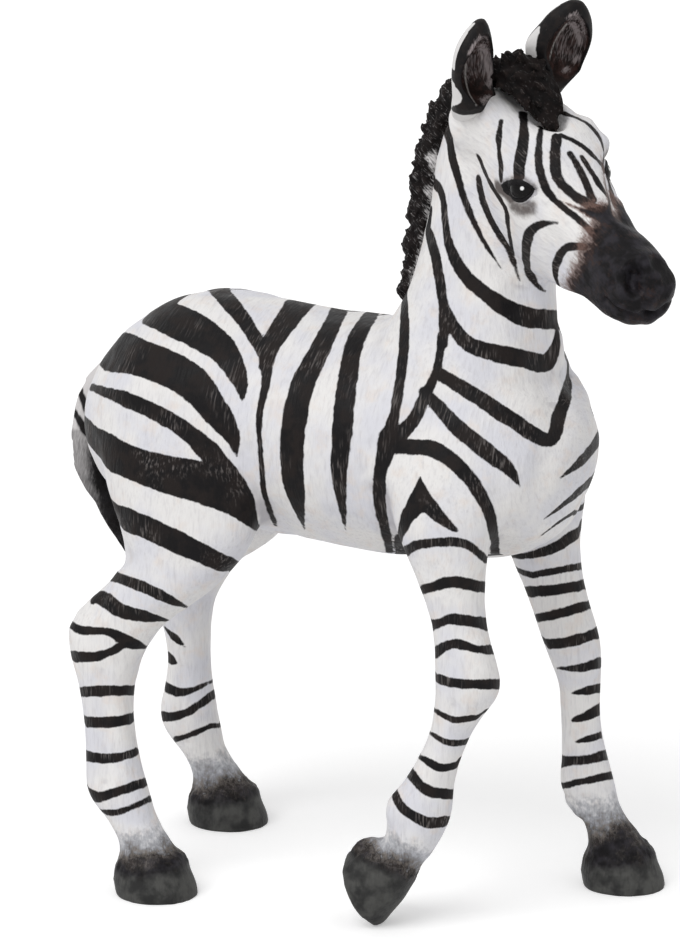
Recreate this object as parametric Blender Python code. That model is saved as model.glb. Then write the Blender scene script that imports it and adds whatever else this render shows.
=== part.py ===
"""Zebra foal, a moulded toy animal figure about 80 mm tall, standing with its right forefoot lifted.

The figure is cast in soft vinyl as separate solid pieces: trunk, neck, head, four legs, tail, two ears,
mane and forelock. Each casting has a peg that is glued into a socket of the casting that carries it.
The outer form is sculpted as one master, and the castings are cut out of that master at flat joints,
so that the surfaces run through from one casting to the next.

Metres, +Z up, +X towards the chest, +Y to the animal's left.
"""

import math

import bmesh
import bpy
from mathutils import Matrix, Vector

# Trunk
BACK_HEIGHT = 0.0520
TRUNK_LENGTH = 0.0500
BARREL_DEPTH = 0.0205
BARREL_WIDTH = 0.0215

# Legs and hooves
STANCE_WIDTH = 0.0205
LEG_DEPTH = 0.0050
LEG_BREADTH = 0.0042
HOOF_LENGTH = 0.0076
HOOF_BREADTH = 0.0068
HOOF_HEIGHT = 0.0036
SOLE_TRIM = 0.0010

# Neck and head
NECK_RISE = 0.0280
NECK_DEPTH = 0.0130
NECK_WIDTH = 0.0100
HEAD_LENGTH = 0.0235
HEAD_DEPTH = 0.0130
HEAD_WIDTH = 0.0100
HEAD_TURN = math.radians(32.5)
HEAD_NOD = math.radians(23)
HEAD_TILT = math.radians(10.6)
HEAD_FULLNESS = 0.82
EYE_RADIUS = 0.0012
NOSTRIL_RADIUS = 0.0008

# Ears, mane, forelock and tail
EAR_LENGTH = 0.0076
EAR_WIDTH = 0.0044
EAR_DEPTH = 0.0030
MANE_DEPTH = 0.0040
MANE_BREADTH = 0.0034
FORELOCK_DEPTH = 0.0042
FORELOCK_BREADTH = 0.0058
TAIL_DEPTH = 0.0030
TAIL_BREADTH = 0.0036

# Glued joints
PEG_RADIUS = 0.0013
PEG_LENGTH = 0.0040
PEG_ROOT = 0.0010
GLUE_GAP = 0.0003

# Sculpting
SCULPT_GRID = 0.00050
LOFT_SIDES = 28
ROWS_PER_SPAN = 4
HAIR_SIDES = 12
EAR_SIDES = 14
PEG_SIDES = 12
SLIVER = 0.000010
CLEANING_PASSES = 2
CREASE_ANGLE = math.radians(45)
BODY_SMOOTHING = 14
KEPT_FACES_SHARE = 0.085

BARREL_AXIS_HEIGHT = BACK_HEIGHT - BARREL_DEPTH / 2
BELLY_HEIGHT = BACK_HEIGHT - BARREL_DEPTH
SIDE = Vector((0, 1, 0))
FORWARD = Vector((1, 0, 0))
UP = Vector((0, 0, 1))

# along (of TRUNK_LENGTH), centre and half depth (of BARREL_DEPTH), half width (of BARREL_WIDTH)
TRUNK_SHARES = (
    (0.056, -0.020, 0.105, 0.130),
    (0.072, -0.030, 0.215, 0.250),
    (0.106, -0.046, 0.318, 0.352),
    (0.156, -0.020, 0.430, 0.437),
    (0.220, 0.018, 0.480, 0.488),
    (0.300, 0.027, 0.483, 0.498),
    (0.400, 0.012, 0.478, 0.479),
    (0.500, -0.007, 0.478, 0.498),
    (0.600, -0.017, 0.488, 0.502),
    (0.700, -0.017, 0.498, 0.479),
    (0.800, -0.027, 0.478, 0.456),
    (0.878, -0.041, 0.424, 0.414),
    (0.932, -0.046, 0.332, 0.344),
    (0.968, -0.027, 0.205, 0.242),
    (0.986, -0.012, 0.093, 0.121),
)

# forward (of TRUNK_LENGTH), height (of BACK_HEIGHT), out (of STANCE_WIDTH),
# half depth (of LEG_DEPTH), half breadth (of LEG_BREADTH)
RIGHT_HIND_SHARES = (
    (0.280, 0.885, 0.312, 1.40, 0.857),
    (0.284, 0.788, 0.351, 1.56, 1.000),
    (0.296, 0.702, 0.385, 1.48, 1.000),
    (0.308, 0.635, 0.415, 1.28, 0.929),
    (0.300, 0.585, 0.439, 1.06, 0.810),
    (0.260, 0.538, 0.459, 0.92, 0.714),
    (0.216, 0.500, 0.473, 0.86, 0.655),
    (0.180, 0.462, 0.483, 0.86, 0.631),
    (0.164, 0.427, 0.488, 0.76, 0.619),
    (0.162, 0.394, 0.493, 0.65, 0.571),
    (0.164, 0.348, 0.498, 0.52, 0.500),
    (0.168, 0.292, 0.498, 0.48, 0.476),
    (0.174, 0.237, 0.498, 0.52, 0.488),
    (0.182, 0.181, 0.498, 0.60, 0.548),
    (0.190, 0.158, 0.498, 0.59, 0.548),
    (0.206, 0.133, 0.498, 0.50, 0.512),
    (0.222, 0.108, 0.498, 0.47, 0.512),
    (0.236, 0.081, 0.498, 0.50, 0.548),
    (0.242, 0.058, 0.498, 0.52, 0.571),
)
LEFT_HIND_SHARES = (
    (0.260, 0.885, 0.312, 1.40, 0.857),
    (0.256, 0.788, 0.351, 1.52, 1.000),
    (0.252, 0.702, 0.385, 1.40, 1.000),
    (0.252, 0.635, 0.410, 1.20, 0.905),
    (0.236, 0.577, 0.434, 1.00, 0.786),
    (0.192, 0.527, 0.454, 0.88, 0.690),
    (0.148, 0.485, 0.468, 0.82, 0.643),
    (0.120, 0.446, 0.478, 0.78, 0.619),
    (0.112, 0.412, 0.483, 0.66, 0.571),
    (0.116, 0.373, 0.488, 0.52, 0.500),
    (0.122, 0.321, 0.488, 0.43, 0.464),
    (0.122, 0.281, 0.493, 0.43, 0.464),
    (0.120, 0.242, 0.498, 0.50, 0.488),
    (0.118, 0.208, 0.502, 0.57, 0.536),
    (0.122, 0.173, 0.507, 0.59, 0.548),
    (0.132, 0.148, 0.512, 0.52, 0.512),
    (0.148, 0.123, 0.517, 0.44, 0.488),
    (0.162, 0.100, 0.522, 0.46, 0.512),
    (0.172, 0.073, 0.527, 0.50, 0.548),
    (0.176, 0.058, 0.532, 0.52, 0.571),
)
RIGHT_FORE_SHARES = (
    (0.770, 0.885, 0.273, 1.08, 0.762),
    (0.784, 0.808, 0.322, 1.20, 0.905),
    (0.792, 0.731, 0.371, 1.08, 0.905),
    (0.798, 0.665, 0.410, 0.80, 0.786),
    (0.812, 0.604, 0.429, 0.60, 0.667),
    (0.826, 0.546, 0.434, 0.50, 0.571),
    (0.838, 0.492, 0.439, 0.52, 0.571),
    (0.846, 0.450, 0.439, 0.59, 0.595),
    (0.844, 0.415, 0.439, 0.57, 0.571),
    (0.828, 0.377, 0.444, 0.44, 0.488),
    (0.812, 0.338, 0.444, 0.38, 0.440),
    (0.794, 0.298, 0.449, 0.40, 0.440),
    (0.778, 0.262, 0.449, 0.45, 0.476),
    (0.766, 0.236, 0.454, 0.55, 0.548),
    (0.760, 0.206, 0.454, 0.60, 0.560),
    (0.752, 0.168, 0.459, 0.53, 0.512),
    (0.736, 0.134, 0.459, 0.48, 0.500),
    (0.718, 0.102, 0.459, 0.45, 0.512),
)
LEFT_FORE_SHARES = (
    (0.810, 0.885, 0.273, 1.08, 0.762),
    (0.820, 0.808, 0.322, 1.20, 0.905),
    (0.824, 0.731, 0.371, 1.08, 0.905),
    (0.828, 0.654, 0.400, 0.84, 0.810),
    (0.836, 0.585, 0.420, 0.68, 0.690),
    (0.852, 0.527, 0.429, 0.59, 0.619),
    (0.870, 0.477, 0.434, 0.55, 0.583),
    (0.886, 0.431, 0.439, 0.55, 0.571),
    (0.896, 0.392, 0.439, 0.49, 0.524),
    (0.904, 0.346, 0.444, 0.39, 0.452),
    (0.906, 0.292, 0.444, 0.37, 0.429),
    (0.912, 0.235, 0.449, 0.42, 0.452),
    (0.918, 0.192, 0.449, 0.49, 0.512),
    (0.922, 0.158, 0.454, 0.53, 0.536),
    (0.938, 0.133, 0.454, 0.43, 0.488),
    (0.956, 0.108, 0.454, 0.44, 0.500),
    (0.968, 0.083, 0.459, 0.50, 0.548),
    (0.974, 0.058, 0.459, 0.52, 0.571),
)

# down (of HOOF_HEIGHT), forward, front half length, rear half length (of HOOF_LENGTH), half breadth (of HOOF_BREADTH)
HOOF_SHARES = (
    (-0.22, -0.06, 0.33, 0.33, 0.340),
    (0.00, -0.05, 0.37, 0.36, 0.390),
    (0.14, -0.03, 0.40, 0.39, 0.430),
    (0.60, 0.02, 0.46, 0.42, 0.470),
    (1.00, 0.07, 0.50, 0.44, 0.500),
)

# forward (of TRUNK_LENGTH), rise (of NECK_RISE), aside (of NECK_WIDTH), half depth (of NECK_DEPTH), half width
NECK_SHARES = (
    (0.730, 0.000, 0.00, 0.800, 0.900),
    (0.746, 0.161, 0.00, 0.712, 0.850),
    (0.770, 0.321, 0.00, 0.606, 0.690),
    (0.788, 0.464, 0.01, 0.508, 0.560),
    (0.796, 0.607, 0.04, 0.455, 0.490),
    (0.802, 0.750, 0.08, 0.431, 0.460),
    (0.804, 0.875, 0.10, 0.412, 0.440),
    (0.812, 0.986, 0.08, 0.360, 0.400),
    (0.826, 1.060, 0.02, 0.250, 0.300),
)
POLL_SHARES = (0.848, 1.088, -0.05)

# along (of HEAD_LENGTH), brow line and jaw line (of HEAD_DEPTH), half width (of HEAD_WIDTH)
HEAD_SHARES = (
    (-0.140, -0.180, -0.538, 0.260),
    (-0.070, -0.040, -0.738, 0.400),
    (0.040, 0.040, -0.862, 0.450),
    (0.160, 0.105, -0.940, 0.490),
    (0.290, 0.110, -0.970, 0.490),
    (0.391, 0.050, -0.970, 0.460),
    (0.477, -0.040, -0.940, 0.405),
    (0.574, -0.123, -0.865, 0.350),
    (0.686, -0.185, -0.785, 0.310),
    (0.793, -0.215, -0.745, 0.305),
    (0.883, -0.246, -0.735, 0.310),
    (0.952, -0.308, -0.695, 0.270),
    (0.995, -0.408, -0.610, 0.170),
)
EYE_PLACE_SHARES = (0.345, 0.380, -0.215)
NOSTRIL_PLACE_SHARES = (0.900, 0.300, -0.360)

# along (of EAR_LENGTH), half width (of EAR_WIDTH), half thickness (of EAR_DEPTH)
EAR_SHARES = (
    (-0.28, 0.22, 0.30),
    (-0.12, 0.34, 0.42),
    (0.14, 0.46, 0.50),
    (0.42, 0.50, 0.48),
    (0.70, 0.43, 0.38),
    (0.88, 0.27, 0.28),
    (0.98, 0.11, 0.14),
)
# along (of EAR_LENGTH), half width (of EAR_WIDTH), half thickness and shift to the mouth (of EAR_DEPTH)
EAR_CUP_SHARES = (
    (0.00, 0.08, 0.22, 0.50),
    (0.12, 0.26, 0.36, 0.46),
    (0.40, 0.35, 0.40, 0.44),
    (0.66, 0.28, 0.36, 0.40),
    (0.84, 0.13, 0.22, 0.36),
)
# where each ear's root is, as along (of HEAD_LENGTH), aside (of HEAD_WIDTH), above (of HEAD_DEPTH)
EAR_ROOT_SHARES = {"right_ear": (0.010, 0.420, 0.060), "left_ear": (0.020, 0.380, 0.060)}
# how far each ear leans out, and how far its mouth is turned out
EAR_POSE_SHARES = {"right_ear": (0.00, -0.35), "left_ear": (0.22, -0.30)}
EAR_SLANT_SHARE = 0.10

# forward (of TRUNK_LENGTH), rise (of NECK_RISE), aside (of NECK_WIDTH), half depth (of MANE_DEPTH), half breadth
MANE_SHARES = (
    (0.662, 0.385, 0.00, 0.14, 0.16),
    (0.660, 0.430, 0.00, 0.30, 0.34),
    (0.670, 0.520, 0.01, 0.42, 0.44),
    (0.680, 0.640, 0.04, 0.48, 0.48),
    (0.692, 0.770, 0.07, 0.50, 0.50),
    (0.704, 0.880, 0.09, 0.50, 0.50),
    (0.720, 0.970, 0.09, 0.50, 0.50),
    (0.744, 1.044, 0.06, 0.50, 0.50),
    (0.774, 1.090, 0.04, 0.46, 0.50),
    (0.800, 1.112, 0.02, 0.34, 0.40),
)
MANE_LUMP_SHARE = 0.09
MANE_LUMPS = 12

# along (of HEAD_LENGTH), above (of HEAD_DEPTH), half depth (of FORELOCK_DEPTH), half breadth
FORELOCK_SHARES = (
    (-0.070, 0.050, 0.26, 0.28),
    (-0.045, 0.100, 0.44, 0.44),
    (0.020, 0.150, 0.50, 0.50),
    (0.100, 0.175, 0.44, 0.48),
    (0.170, 0.165, 0.36, 0.40),
    (0.230, 0.130, 0.28, 0.30),
    (0.280, 0.085, 0.20, 0.17),
    (0.305, 0.055, 0.12, 0.07),
)

# forward (of TRUNK_LENGTH), height (of BACK_HEIGHT), half depth (of TAIL_DEPTH), half breadth (of TAIL_BREADTH)
TAIL_SHARES = (
    (0.120, 0.865, 0.34, 0.36),
    (0.078, 0.858, 0.42, 0.42),
    (0.046, 0.826, 0.46, 0.44),
    (0.028, 0.774, 0.48, 0.44),
    (0.022, 0.708, 0.48, 0.48),
    (0.036, 0.660, 0.50, 0.50),
    (0.066, 0.610, 0.44, 0.46),
    (0.090, 0.570, 0.32, 0.32),
    (0.104, 0.540, 0.14, 0.14),
)

# where the castings are parted
LEG_JOINT_SHARES = {"right_hind": 0.825, "left_hind": 0.825, "right_fore": 0.885, "left_fore": 0.870}
NECK_JOINT_SHARES = (0.790, 0.300)
NECK_JOINT_LEAN = math.radians(26)
HEAD_JOINT_SHARES = (0.078, -0.500)
HEAD_JOINT_LEAN = math.radians(48)
HEAD_REACH_SHARES = (-1.09, 1.00)
LIFTED_HOOF_PITCH = math.radians(65)
LIFTED_HOOF_SHARE = 0.16

PAINTED_WHITE = ((0.80, 0.79, 0.77), 0.50)
PAINTED_BLACK = ((0.030, 0.026, 0.024), 0.55)
TAIL_GREY = ((0.20, 0.19, 0.18), 0.55)


def clear_scene():
    for leftover in list(bpy.data.objects):
        bpy.data.objects.remove(leftover)


def spread(rows, steps):
    """The rows with more rows between them, on a Catmull-Rom curve through the given ones."""
    result = []
    last = len(rows) - 1
    for i in range(last):
        before = rows[max(i - 1, 0)]
        after = rows[min(i + 2, last)]
        for step in range(steps):
            t = step / steps
            result.append(tuple(
                0.5 * (2 * b + (c - a) * t + (2 * a - 5 * b + 4 * c - d) * t ** 2 + (3 * b - a - 3 * c + d) * t ** 3)
                for a, b, c, d in zip(before, rows[i], rows[i + 1], after)
            ))
    result.append(rows[last])
    return result


def oval(centre, right, up, half_right, half_up, half_down, sides=LOFT_SIDES, fullness=1.0):
    """A ring of points round centre, with its own height above and below; fullness under 1 squares it."""
    points = []
    for i in range(sides):
        angle = math.tau * i / sides
        rise = math.copysign(abs(math.sin(angle)) ** fullness, math.sin(angle))
        reach = math.copysign(abs(math.cos(angle)) ** fullness, math.cos(angle))
        points.append(centre + right * (half_right * reach) + up * (rise * (half_up if rise > 0 else half_down)))
    return points


def skinned(name, rings):
    """One closed mesh object through the rings, with a flat cap on each end."""
    form = bmesh.new()
    corners = [[form.verts.new(point) for point in ring] for ring in rings]
    sides = len(rings[0])
    for lower, upper in zip(corners, corners[1:]):
        for i in range(sides):
            j = (i + 1) % sides
            form.faces.new((lower[i], lower[j], upper[j], upper[i]))
    form.faces.new(corners[0])
    form.faces.new(corners[-1])
    bmesh.ops.recalc_face_normals(form, faces=form.faces)
    return finished(name, form)


def finished(name, form):
    """A new object that holds the bmesh, with outward faces."""
    if form.calc_volume(signed=True) < 0:
        bmesh.ops.reverse_faces(form, faces=form.faces)
    mesh = bpy.data.meshes.new(name)
    form.to_mesh(mesh)
    form.free()
    obj = bpy.data.objects.new(name, mesh)
    bpy.context.scene.collection.objects.link(obj)
    return obj


def settled(obj):
    """The object with its modifiers worked into its mesh."""
    graph = bpy.context.evaluated_depsgraph_get()
    mesh = bpy.data.meshes.new_from_object(obj.evaluated_get(graph))
    obj.modifiers.clear()
    obj.data = mesh
    return obj


def combined(obj, other, operation):
    """obj after a Boolean with other, which stays as it is."""
    boolean = obj.modifiers.new(operation.lower(), "BOOLEAN")
    boolean.operation = operation
    boolean.object = other
    return settled(obj)


def copied(obj, name):
    twin = obj.copy()
    twin.data = obj.data.copy()
    twin.name = name
    bpy.context.scene.collection.objects.link(twin)
    return twin


def discarded(*objects):
    for obj in objects:
        bpy.data.objects.remove(obj)


def swollen(obj, name, by):
    """A copy of obj whose surface stands out by the given distance, for cutting a seat with a glue gap."""
    twin = copied(obj, name)
    bloat = twin.modifiers.new("bloat", "DISPLACE")
    bloat.strength = by
    bloat.mid_level = 0
    return settled(twin)


def peg(name, root, direction, radius, length):
    """A round peg from root along direction, with a slightly smaller tip."""
    side = direction.orthogonal().normalized()
    up = direction.cross(side)
    tip_share = 0.85
    straight_share = 0.8
    stations = ((-PEG_ROOT, radius), (length * straight_share, radius), (length, radius * tip_share))
    return skinned(name, [oval(root + direction * along, side, up, r, r, r, PEG_SIDES) for along, r in stations])


def block(name, start, along, up, length, height, width):
    """A box that runs from start for its length, centred in height and width."""
    side = along.cross(up)
    corners = ((-1, -1), (1, -1), (1, 1), (-1, 1))
    rings = []
    for reach in (0, length):
        middle = start + along * reach
        rings.append([middle + side * (width / 2 * a) + up * (height / 2 * b) for a, b in corners])
    return skinned(name, rings)


def lock_form(name, centres, sizes, side, sides=HAIR_SIDES):
    """A mass of hair along the centres, each ring square to the way it runs; sizes are depth and breadth."""
    rings = []
    last = len(centres) - 1
    for i, (depth, breadth) in enumerate(sizes):
        run = (centres[min(i + 1, last)] - centres[max(i - 1, 0)]).normalized()
        across = (side - run * side.dot(run)).normalized()
        rings.append(oval(centres[i], across, run.cross(across), breadth, depth, depth, sides))
    return skinned(name, rings)


def trunk_form():
    rings = []
    for along, middle, half_depth, half_width in spread(TRUNK_SHARES, ROWS_PER_SPAN):
        centre = Vector((along * TRUNK_LENGTH, 0, BARREL_AXIS_HEIGHT + middle * BARREL_DEPTH))
        depth = half_depth * BARREL_DEPTH
        rings.append(oval(centre, SIDE, UP, half_width * BARREL_WIDTH, depth, depth))
    return skinned("trunk_form", rings)


def leg_stations(shares, hand):
    """Centre, half depth and half breadth of each row of a leg; hand is -1 on the right, 1 on the left."""
    return [
        (
            Vector((forward * TRUNK_LENGTH, hand * out * STANCE_WIDTH, height * BACK_HEIGHT)),
            half_depth * LEG_DEPTH,
            half_breadth * LEG_BREADTH,
        )
        for forward, height, out, half_depth, half_breadth in shares
    ]


def leg_form(name, shares, hand):
    stations = leg_stations(spread(shares, ROWS_PER_SPAN), hand)
    return skinned(name, [oval(c, SIDE, FORWARD, breadth, depth, depth) for c, depth, breadth in stations])


def hoof_form(name, coronet, forward, down, reach=0.0):
    """A hoof whose coronet is centred on a point; reach is how far it runs on past its sole."""
    rows = list(HOOF_SHARES)
    if reach:
        sole = rows[-1]
        rows.append((sole[0] + reach / HOOF_HEIGHT, *sole[1:]))
    rings = []
    for deep, ahead, front, rear, half in spread(rows, 2):
        centre = coronet + down * (deep * HOOF_HEIGHT) + forward * (ahead * HOOF_LENGTH)
        rings.append(oval(centre, SIDE, forward, half * HOOF_BREADTH, front * HOOF_LENGTH, rear * HOOF_LENGTH))
    return skinned(name, rings)


def neck_point(forward, rise, aside):
    return Vector((forward * TRUNK_LENGTH, aside * NECK_WIDTH, BARREL_AXIS_HEIGHT + rise * NECK_RISE))


def neck_form():
    rings = []
    for forward, rise, aside, half_depth, half_width in spread(NECK_SHARES, ROWS_PER_SPAN):
        depth = half_depth * NECK_DEPTH
        rings.append(oval(neck_point(forward, rise, aside), SIDE, FORWARD, half_width * NECK_WIDTH, depth, depth))
    return skinned("neck_form", rings)


def head_axes():
    """The head's own directions: towards the nose, to its left, and up out of the forehead."""
    turn = Matrix.Rotation(-HEAD_TURN, 3, "Z") @ Matrix.Rotation(HEAD_NOD, 3, "Y") @ Matrix.Rotation(HEAD_TILT, 3, "X")
    return turn @ FORWARD, turn @ SIDE, turn @ UP


NOSEWARD, HEAD_LEFT, BROW_UP = head_axes()
POLL = neck_point(*POLL_SHARES)


def head_point(along, aside, above):
    return POLL + NOSEWARD * (along * HEAD_LENGTH) + HEAD_LEFT * (aside * HEAD_WIDTH) + BROW_UP * (above * HEAD_DEPTH)


def head_form():
    rings = []
    for along, brow, jaw, half_width in spread(HEAD_SHARES, ROWS_PER_SPAN):
        half = (brow - jaw) / 2 * HEAD_DEPTH
        middle = head_point(along, 0, (brow + jaw) / 2)
        rings.append(oval(middle, HEAD_LEFT, BROW_UP, half_width * HEAD_WIDTH, half, half, fullness=HEAD_FULLNESS))
    return skinned("head_form", rings)


def eye_form(name, hand):
    along, aside, above = EYE_PLACE_SHARES
    form = bmesh.new()
    bmesh.ops.create_icosphere(form, subdivisions=3, radius=EYE_RADIUS)
    bmesh.ops.translate(form, verts=form.verts, vec=head_point(along, hand * aside, above))
    return finished(name, form)


def sculpted(name, forms, smoothing):
    """The forms merged into one skin on the sculpting grid, and smoothed so that they flow together."""
    form = bmesh.new()
    for piece in forms:
        form.from_mesh(piece.data)
    discarded(*forms)
    obj = finished(name, form)
    grid = obj.modifiers.new("grid", "REMESH")
    grid.mode = "VOXEL"
    grid.voxel_size = SCULPT_GRID
    soften = obj.modifiers.new("soften", "SMOOTH")
    soften.iterations = smoothing
    thin = obj.modifiers.new("thin", "DECIMATE")
    thin.ratio = KEPT_FACES_SHARE
    return settled(obj)


def trimmed_to_ground(obj):
    form = bmesh.new()
    form.from_mesh(obj.data)
    cut = bmesh.ops.bisect_plane(
        form, geom=form.verts[:] + form.edges[:] + form.faces[:], plane_co=(0, 0, 0), plane_no=UP, clear_inner=True
    )
    rim = [item for item in cut["geom_cut"] if isinstance(item, bmesh.types.BMEdge)]
    bmesh.ops.holes_fill(form, edges=rim)
    bmesh.ops.recalc_face_normals(form, faces=form.faces)
    form.to_mesh(obj.data)
    form.free()
    return obj


LEGS = {
    "right_hind": (RIGHT_HIND_SHARES, -1),
    "left_hind": (LEFT_HIND_SHARES, 1),
    "right_fore": (RIGHT_FORE_SHARES, -1),
    "left_fore": (LEFT_FORE_SHARES, 1),
}


def leg_hoof(name):
    """The hoof at the end of a leg: flat on the ground, or hanging from the lifted forefoot."""
    shares, hand = LEGS[name]
    coronet = leg_stations(shares, hand)[-1][0]
    if name == "right_fore":
        ahead = FORWARD * math.cos(LIFTED_HOOF_PITCH) - UP * math.sin(LIFTED_HOOF_PITCH)
        down = -FORWARD * math.sin(LIFTED_HOOF_PITCH) - UP * math.cos(LIFTED_HOOF_PITCH)
        return hoof_form(name + "_hoof", coronet, ahead, down, LIFTED_HOOF_SHARE * HOOF_HEIGHT)
    coronet.z = HOOF_HEIGHT
    return hoof_form(name + "_hoof", coronet, FORWARD, -UP, SOLE_TRIM)


def master_form():
    """The whole animal without ears, mane, forelock and tail."""
    forms = [trunk_form(), neck_form(), head_form(), eye_form("right_eye", -1), eye_form("left_eye", 1)]
    for name, (shares, hand) in LEGS.items():
        forms.append(leg_form(name + "_form", shares, hand))
        forms.append(leg_hoof(name))
    return trimmed_to_ground(sculpted("master", forms, BODY_SMOOTHING))


def mane_form():
    rows = spread(MANE_SHARES, ROWS_PER_SPAN + 1)
    sizes = []
    for i, (_, _, _, half_depth, half_breadth) in enumerate(rows):
        lump = 1 + MANE_LUMP_SHARE * math.sin(math.tau * MANE_LUMPS * i / len(rows))
        sizes.append((half_depth * MANE_DEPTH * lump, half_breadth * MANE_BREADTH))
    return lock_form("mane", [neck_point(*row[:3]) for row in rows], sizes, SIDE)


def forelock_form():
    rows = spread(FORELOCK_SHARES, ROWS_PER_SPAN)
    centres = [head_point(along, 0, above) for along, above, _, _ in rows]
    sizes = [(depth * FORELOCK_DEPTH, breadth * FORELOCK_BREADTH) for _, _, depth, breadth in rows]
    return lock_form("forelock", centres, sizes, HEAD_LEFT)


def tail_form():
    rows = spread(TAIL_SHARES, ROWS_PER_SPAN)
    centres = [Vector((forward * TRUNK_LENGTH, 0, height * BACK_HEIGHT)) for forward, height, _, _ in rows]
    sizes = [(depth * TAIL_DEPTH, breadth * TAIL_BREADTH) for _, _, depth, breadth in rows]
    return lock_form("tail", centres, sizes, SIDE)


def ear_form(name, hand):
    """A cupped ear that stands up from the skull, with its mouth to the front and a little outwards."""
    along, aside, above = EAR_ROOT_SHARES[name]
    lean_share, outward_share = EAR_POSE_SHARES[name]
    root = head_point(along, hand * aside, above)
    axis = (BROW_UP + HEAD_LEFT * (hand * lean_share) - NOSEWARD * EAR_SLANT_SHARE).normalized()
    mouth = NOSEWARD + HEAD_LEFT * (hand * outward_share)
    mouth = (mouth - axis * mouth.dot(axis)).normalized()
    width = mouth.cross(axis)
    rings = []
    for along, half_width, half_depth in spread(EAR_SHARES, ROWS_PER_SPAN - 1):
        depth = half_depth * EAR_DEPTH
        rings.append(oval(root + axis * (along * EAR_LENGTH), width, mouth, half_width * EAR_WIDTH, depth, depth, EAR_SIDES))
    ear = skinned(name, rings)
    rings = []
    for along, half_width, half_depth, shift in spread(EAR_CUP_SHARES, ROWS_PER_SPAN - 1):
        middle = root + axis * (along * EAR_LENGTH) + mouth * (shift * EAR_DEPTH)
        depth = half_depth * EAR_DEPTH
        rings.append(oval(middle, width, mouth, half_width * EAR_WIDTH, depth, depth, EAR_SIDES))
    cup = skinned(name + "_cup", rings)
    combined(ear, cup, "DIFFERENCE")
    discarded(cup)
    return ear


def leg_block(name, top):
    """A box round the whole of one leg below the given height."""
    _, hand = LEGS[name]
    ahead = 1 if "fore" in name else -1
    start = Vector((TRUNK_LENGTH / 2 * (1 + ahead), hand * BARREL_WIDTH / 2, top))
    return block(name + "_block", start, -UP, FORWARD, BACK_HEIGHT, TRUNK_LENGTH, BARREL_WIDTH)


def joint_block(middle, normal, gap):
    """A box on the far side of a joint plane, large enough for the neck and head."""
    up = (UP - normal * UP.dot(normal)).normalized()
    return block("joint_block", middle + normal * gap, normal, up, TRUNK_LENGTH, TRUNK_LENGTH, TRUNK_LENGTH)


def head_block(middle, normal, gap):
    """The part of a joint block that lies above the underside of the jaw."""
    low, high = HEAD_REACH_SHARES
    bottom = low * HEAD_DEPTH + gap
    top = high * HEAD_DEPTH
    start = POLL + BROW_UP * ((bottom + top) / 2) - NOSEWARD * TRUNK_LENGTH
    limit = block("head_limit", start, NOSEWARD, BROW_UP, TRUNK_LENGTH * 2, top - bottom, TRUNK_LENGTH)
    cutter = combined(joint_block(middle, normal, gap), limit, "INTERSECT")
    discarded(limit)
    return cutter


def leg_joint(name):
    """Where a leg is parted from the trunk, and the way its peg runs up into the thigh or forearm."""
    shares, hand = LEGS[name]
    height = LEG_JOINT_SHARES[name] * BELLY_HEIGHT
    stations = [centre for centre, _, _ in leg_stations(shares, hand)]
    for upper, lower in zip(stations, stations[1:]):
        if upper.z >= height >= lower.z:
            up = upper - lower
            return lower + up * ((height - lower.z) / up.z), up.normalized()
    raise ValueError("the joint is off the leg")


def cut_castings(master):
    """The master cut into trunk, neck, head and four legs, with a peg and its socket at each joint."""
    seam = GLUE_GAP / 2
    neck_at = neck_point(*NECK_JOINT_SHARES, 0)
    neck_normal = FORWARD * math.sin(NECK_JOINT_LEAN) + UP * math.cos(NECK_JOINT_LEAN)
    head_along, head_above = HEAD_JOINT_SHARES
    head_at = head_point(head_along, 0, head_above)
    head_normal = NOSEWARD * math.cos(HEAD_JOINT_LEAN) + BROW_UP * math.sin(HEAD_JOINT_LEAN)
    torso = copied(master, "torso")
    neck = copied(master, "neck")
    head = copied(master, "head")
    castings = {"torso": torso, "neck": neck, "head": head}
    for casting, cutter, operation in (
        (torso, joint_block(neck_at, neck_normal, -seam), "DIFFERENCE"),
        (neck, joint_block(neck_at, neck_normal, seam), "INTERSECT"),
        (neck, head_block(head_at, head_normal, -seam), "DIFFERENCE"),
        (head, head_block(head_at, head_normal, seam), "INTERSECT"),
    ):
        combined(casting, cutter, operation)
        discarded(cutter)
    pegged(neck, torso, neck_at, -neck_normal)
    pegged(head, neck, head_at, -(head_normal + UP).normalized())
    for name in LEGS:
        at, into = leg_joint(name)
        leg = copied(master, name + "leg")
        for casting, gap, operation in ((leg, -seam, "INTERSECT"), (torso, seam, "DIFFERENCE")):
            cutter = leg_block(name, at.z + gap)
            combined(casting, cutter, operation)
            discarded(cutter)
        pegged(leg, torso, at, into)
        castings[name + "leg"] = leg
    discarded(master)
    return castings


def pegged(guest, carrier, at, into):
    """A peg on the guest casting, and a socket for it in the carrier."""
    rod = peg("peg", at, into, PEG_RADIUS, PEG_LENGTH)
    hole = peg("socket", at, into, PEG_RADIUS + GLUE_GAP, PEG_LENGTH + GLUE_GAP)
    combined(guest, rod, "UNION")
    combined(carrier, hole, "DIFFERENCE")
    discarded(rod, hole)


def seated(guest, *carriers):
    """Seats for the guest in the castings round its root, with a glue gap all round."""
    cutter = swollen(guest, "seat", GLUE_GAP)
    for carrier in carriers:
        combined(carrier, cutter, "DIFFERENCE")
    discarded(cutter)


def cleaned(obj):
    """The casting in plain triangles, without the shortest edges that cutting leaves."""
    form = bmesh.new()
    form.from_mesh(obj.data)
    bmesh.ops.triangulate(form, faces=form.faces)
    for _ in range(CLEANING_PASSES):
        short = [edge for edge in form.edges if edge.calc_length() < SLIVER]
        for edge in short:
            if edge.is_valid and shared_neighbours(edge) == len(edge.link_faces):
                bmesh.ops.collapse(form, edges=[edge])
    form.to_mesh(obj.data)
    form.free()


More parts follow.
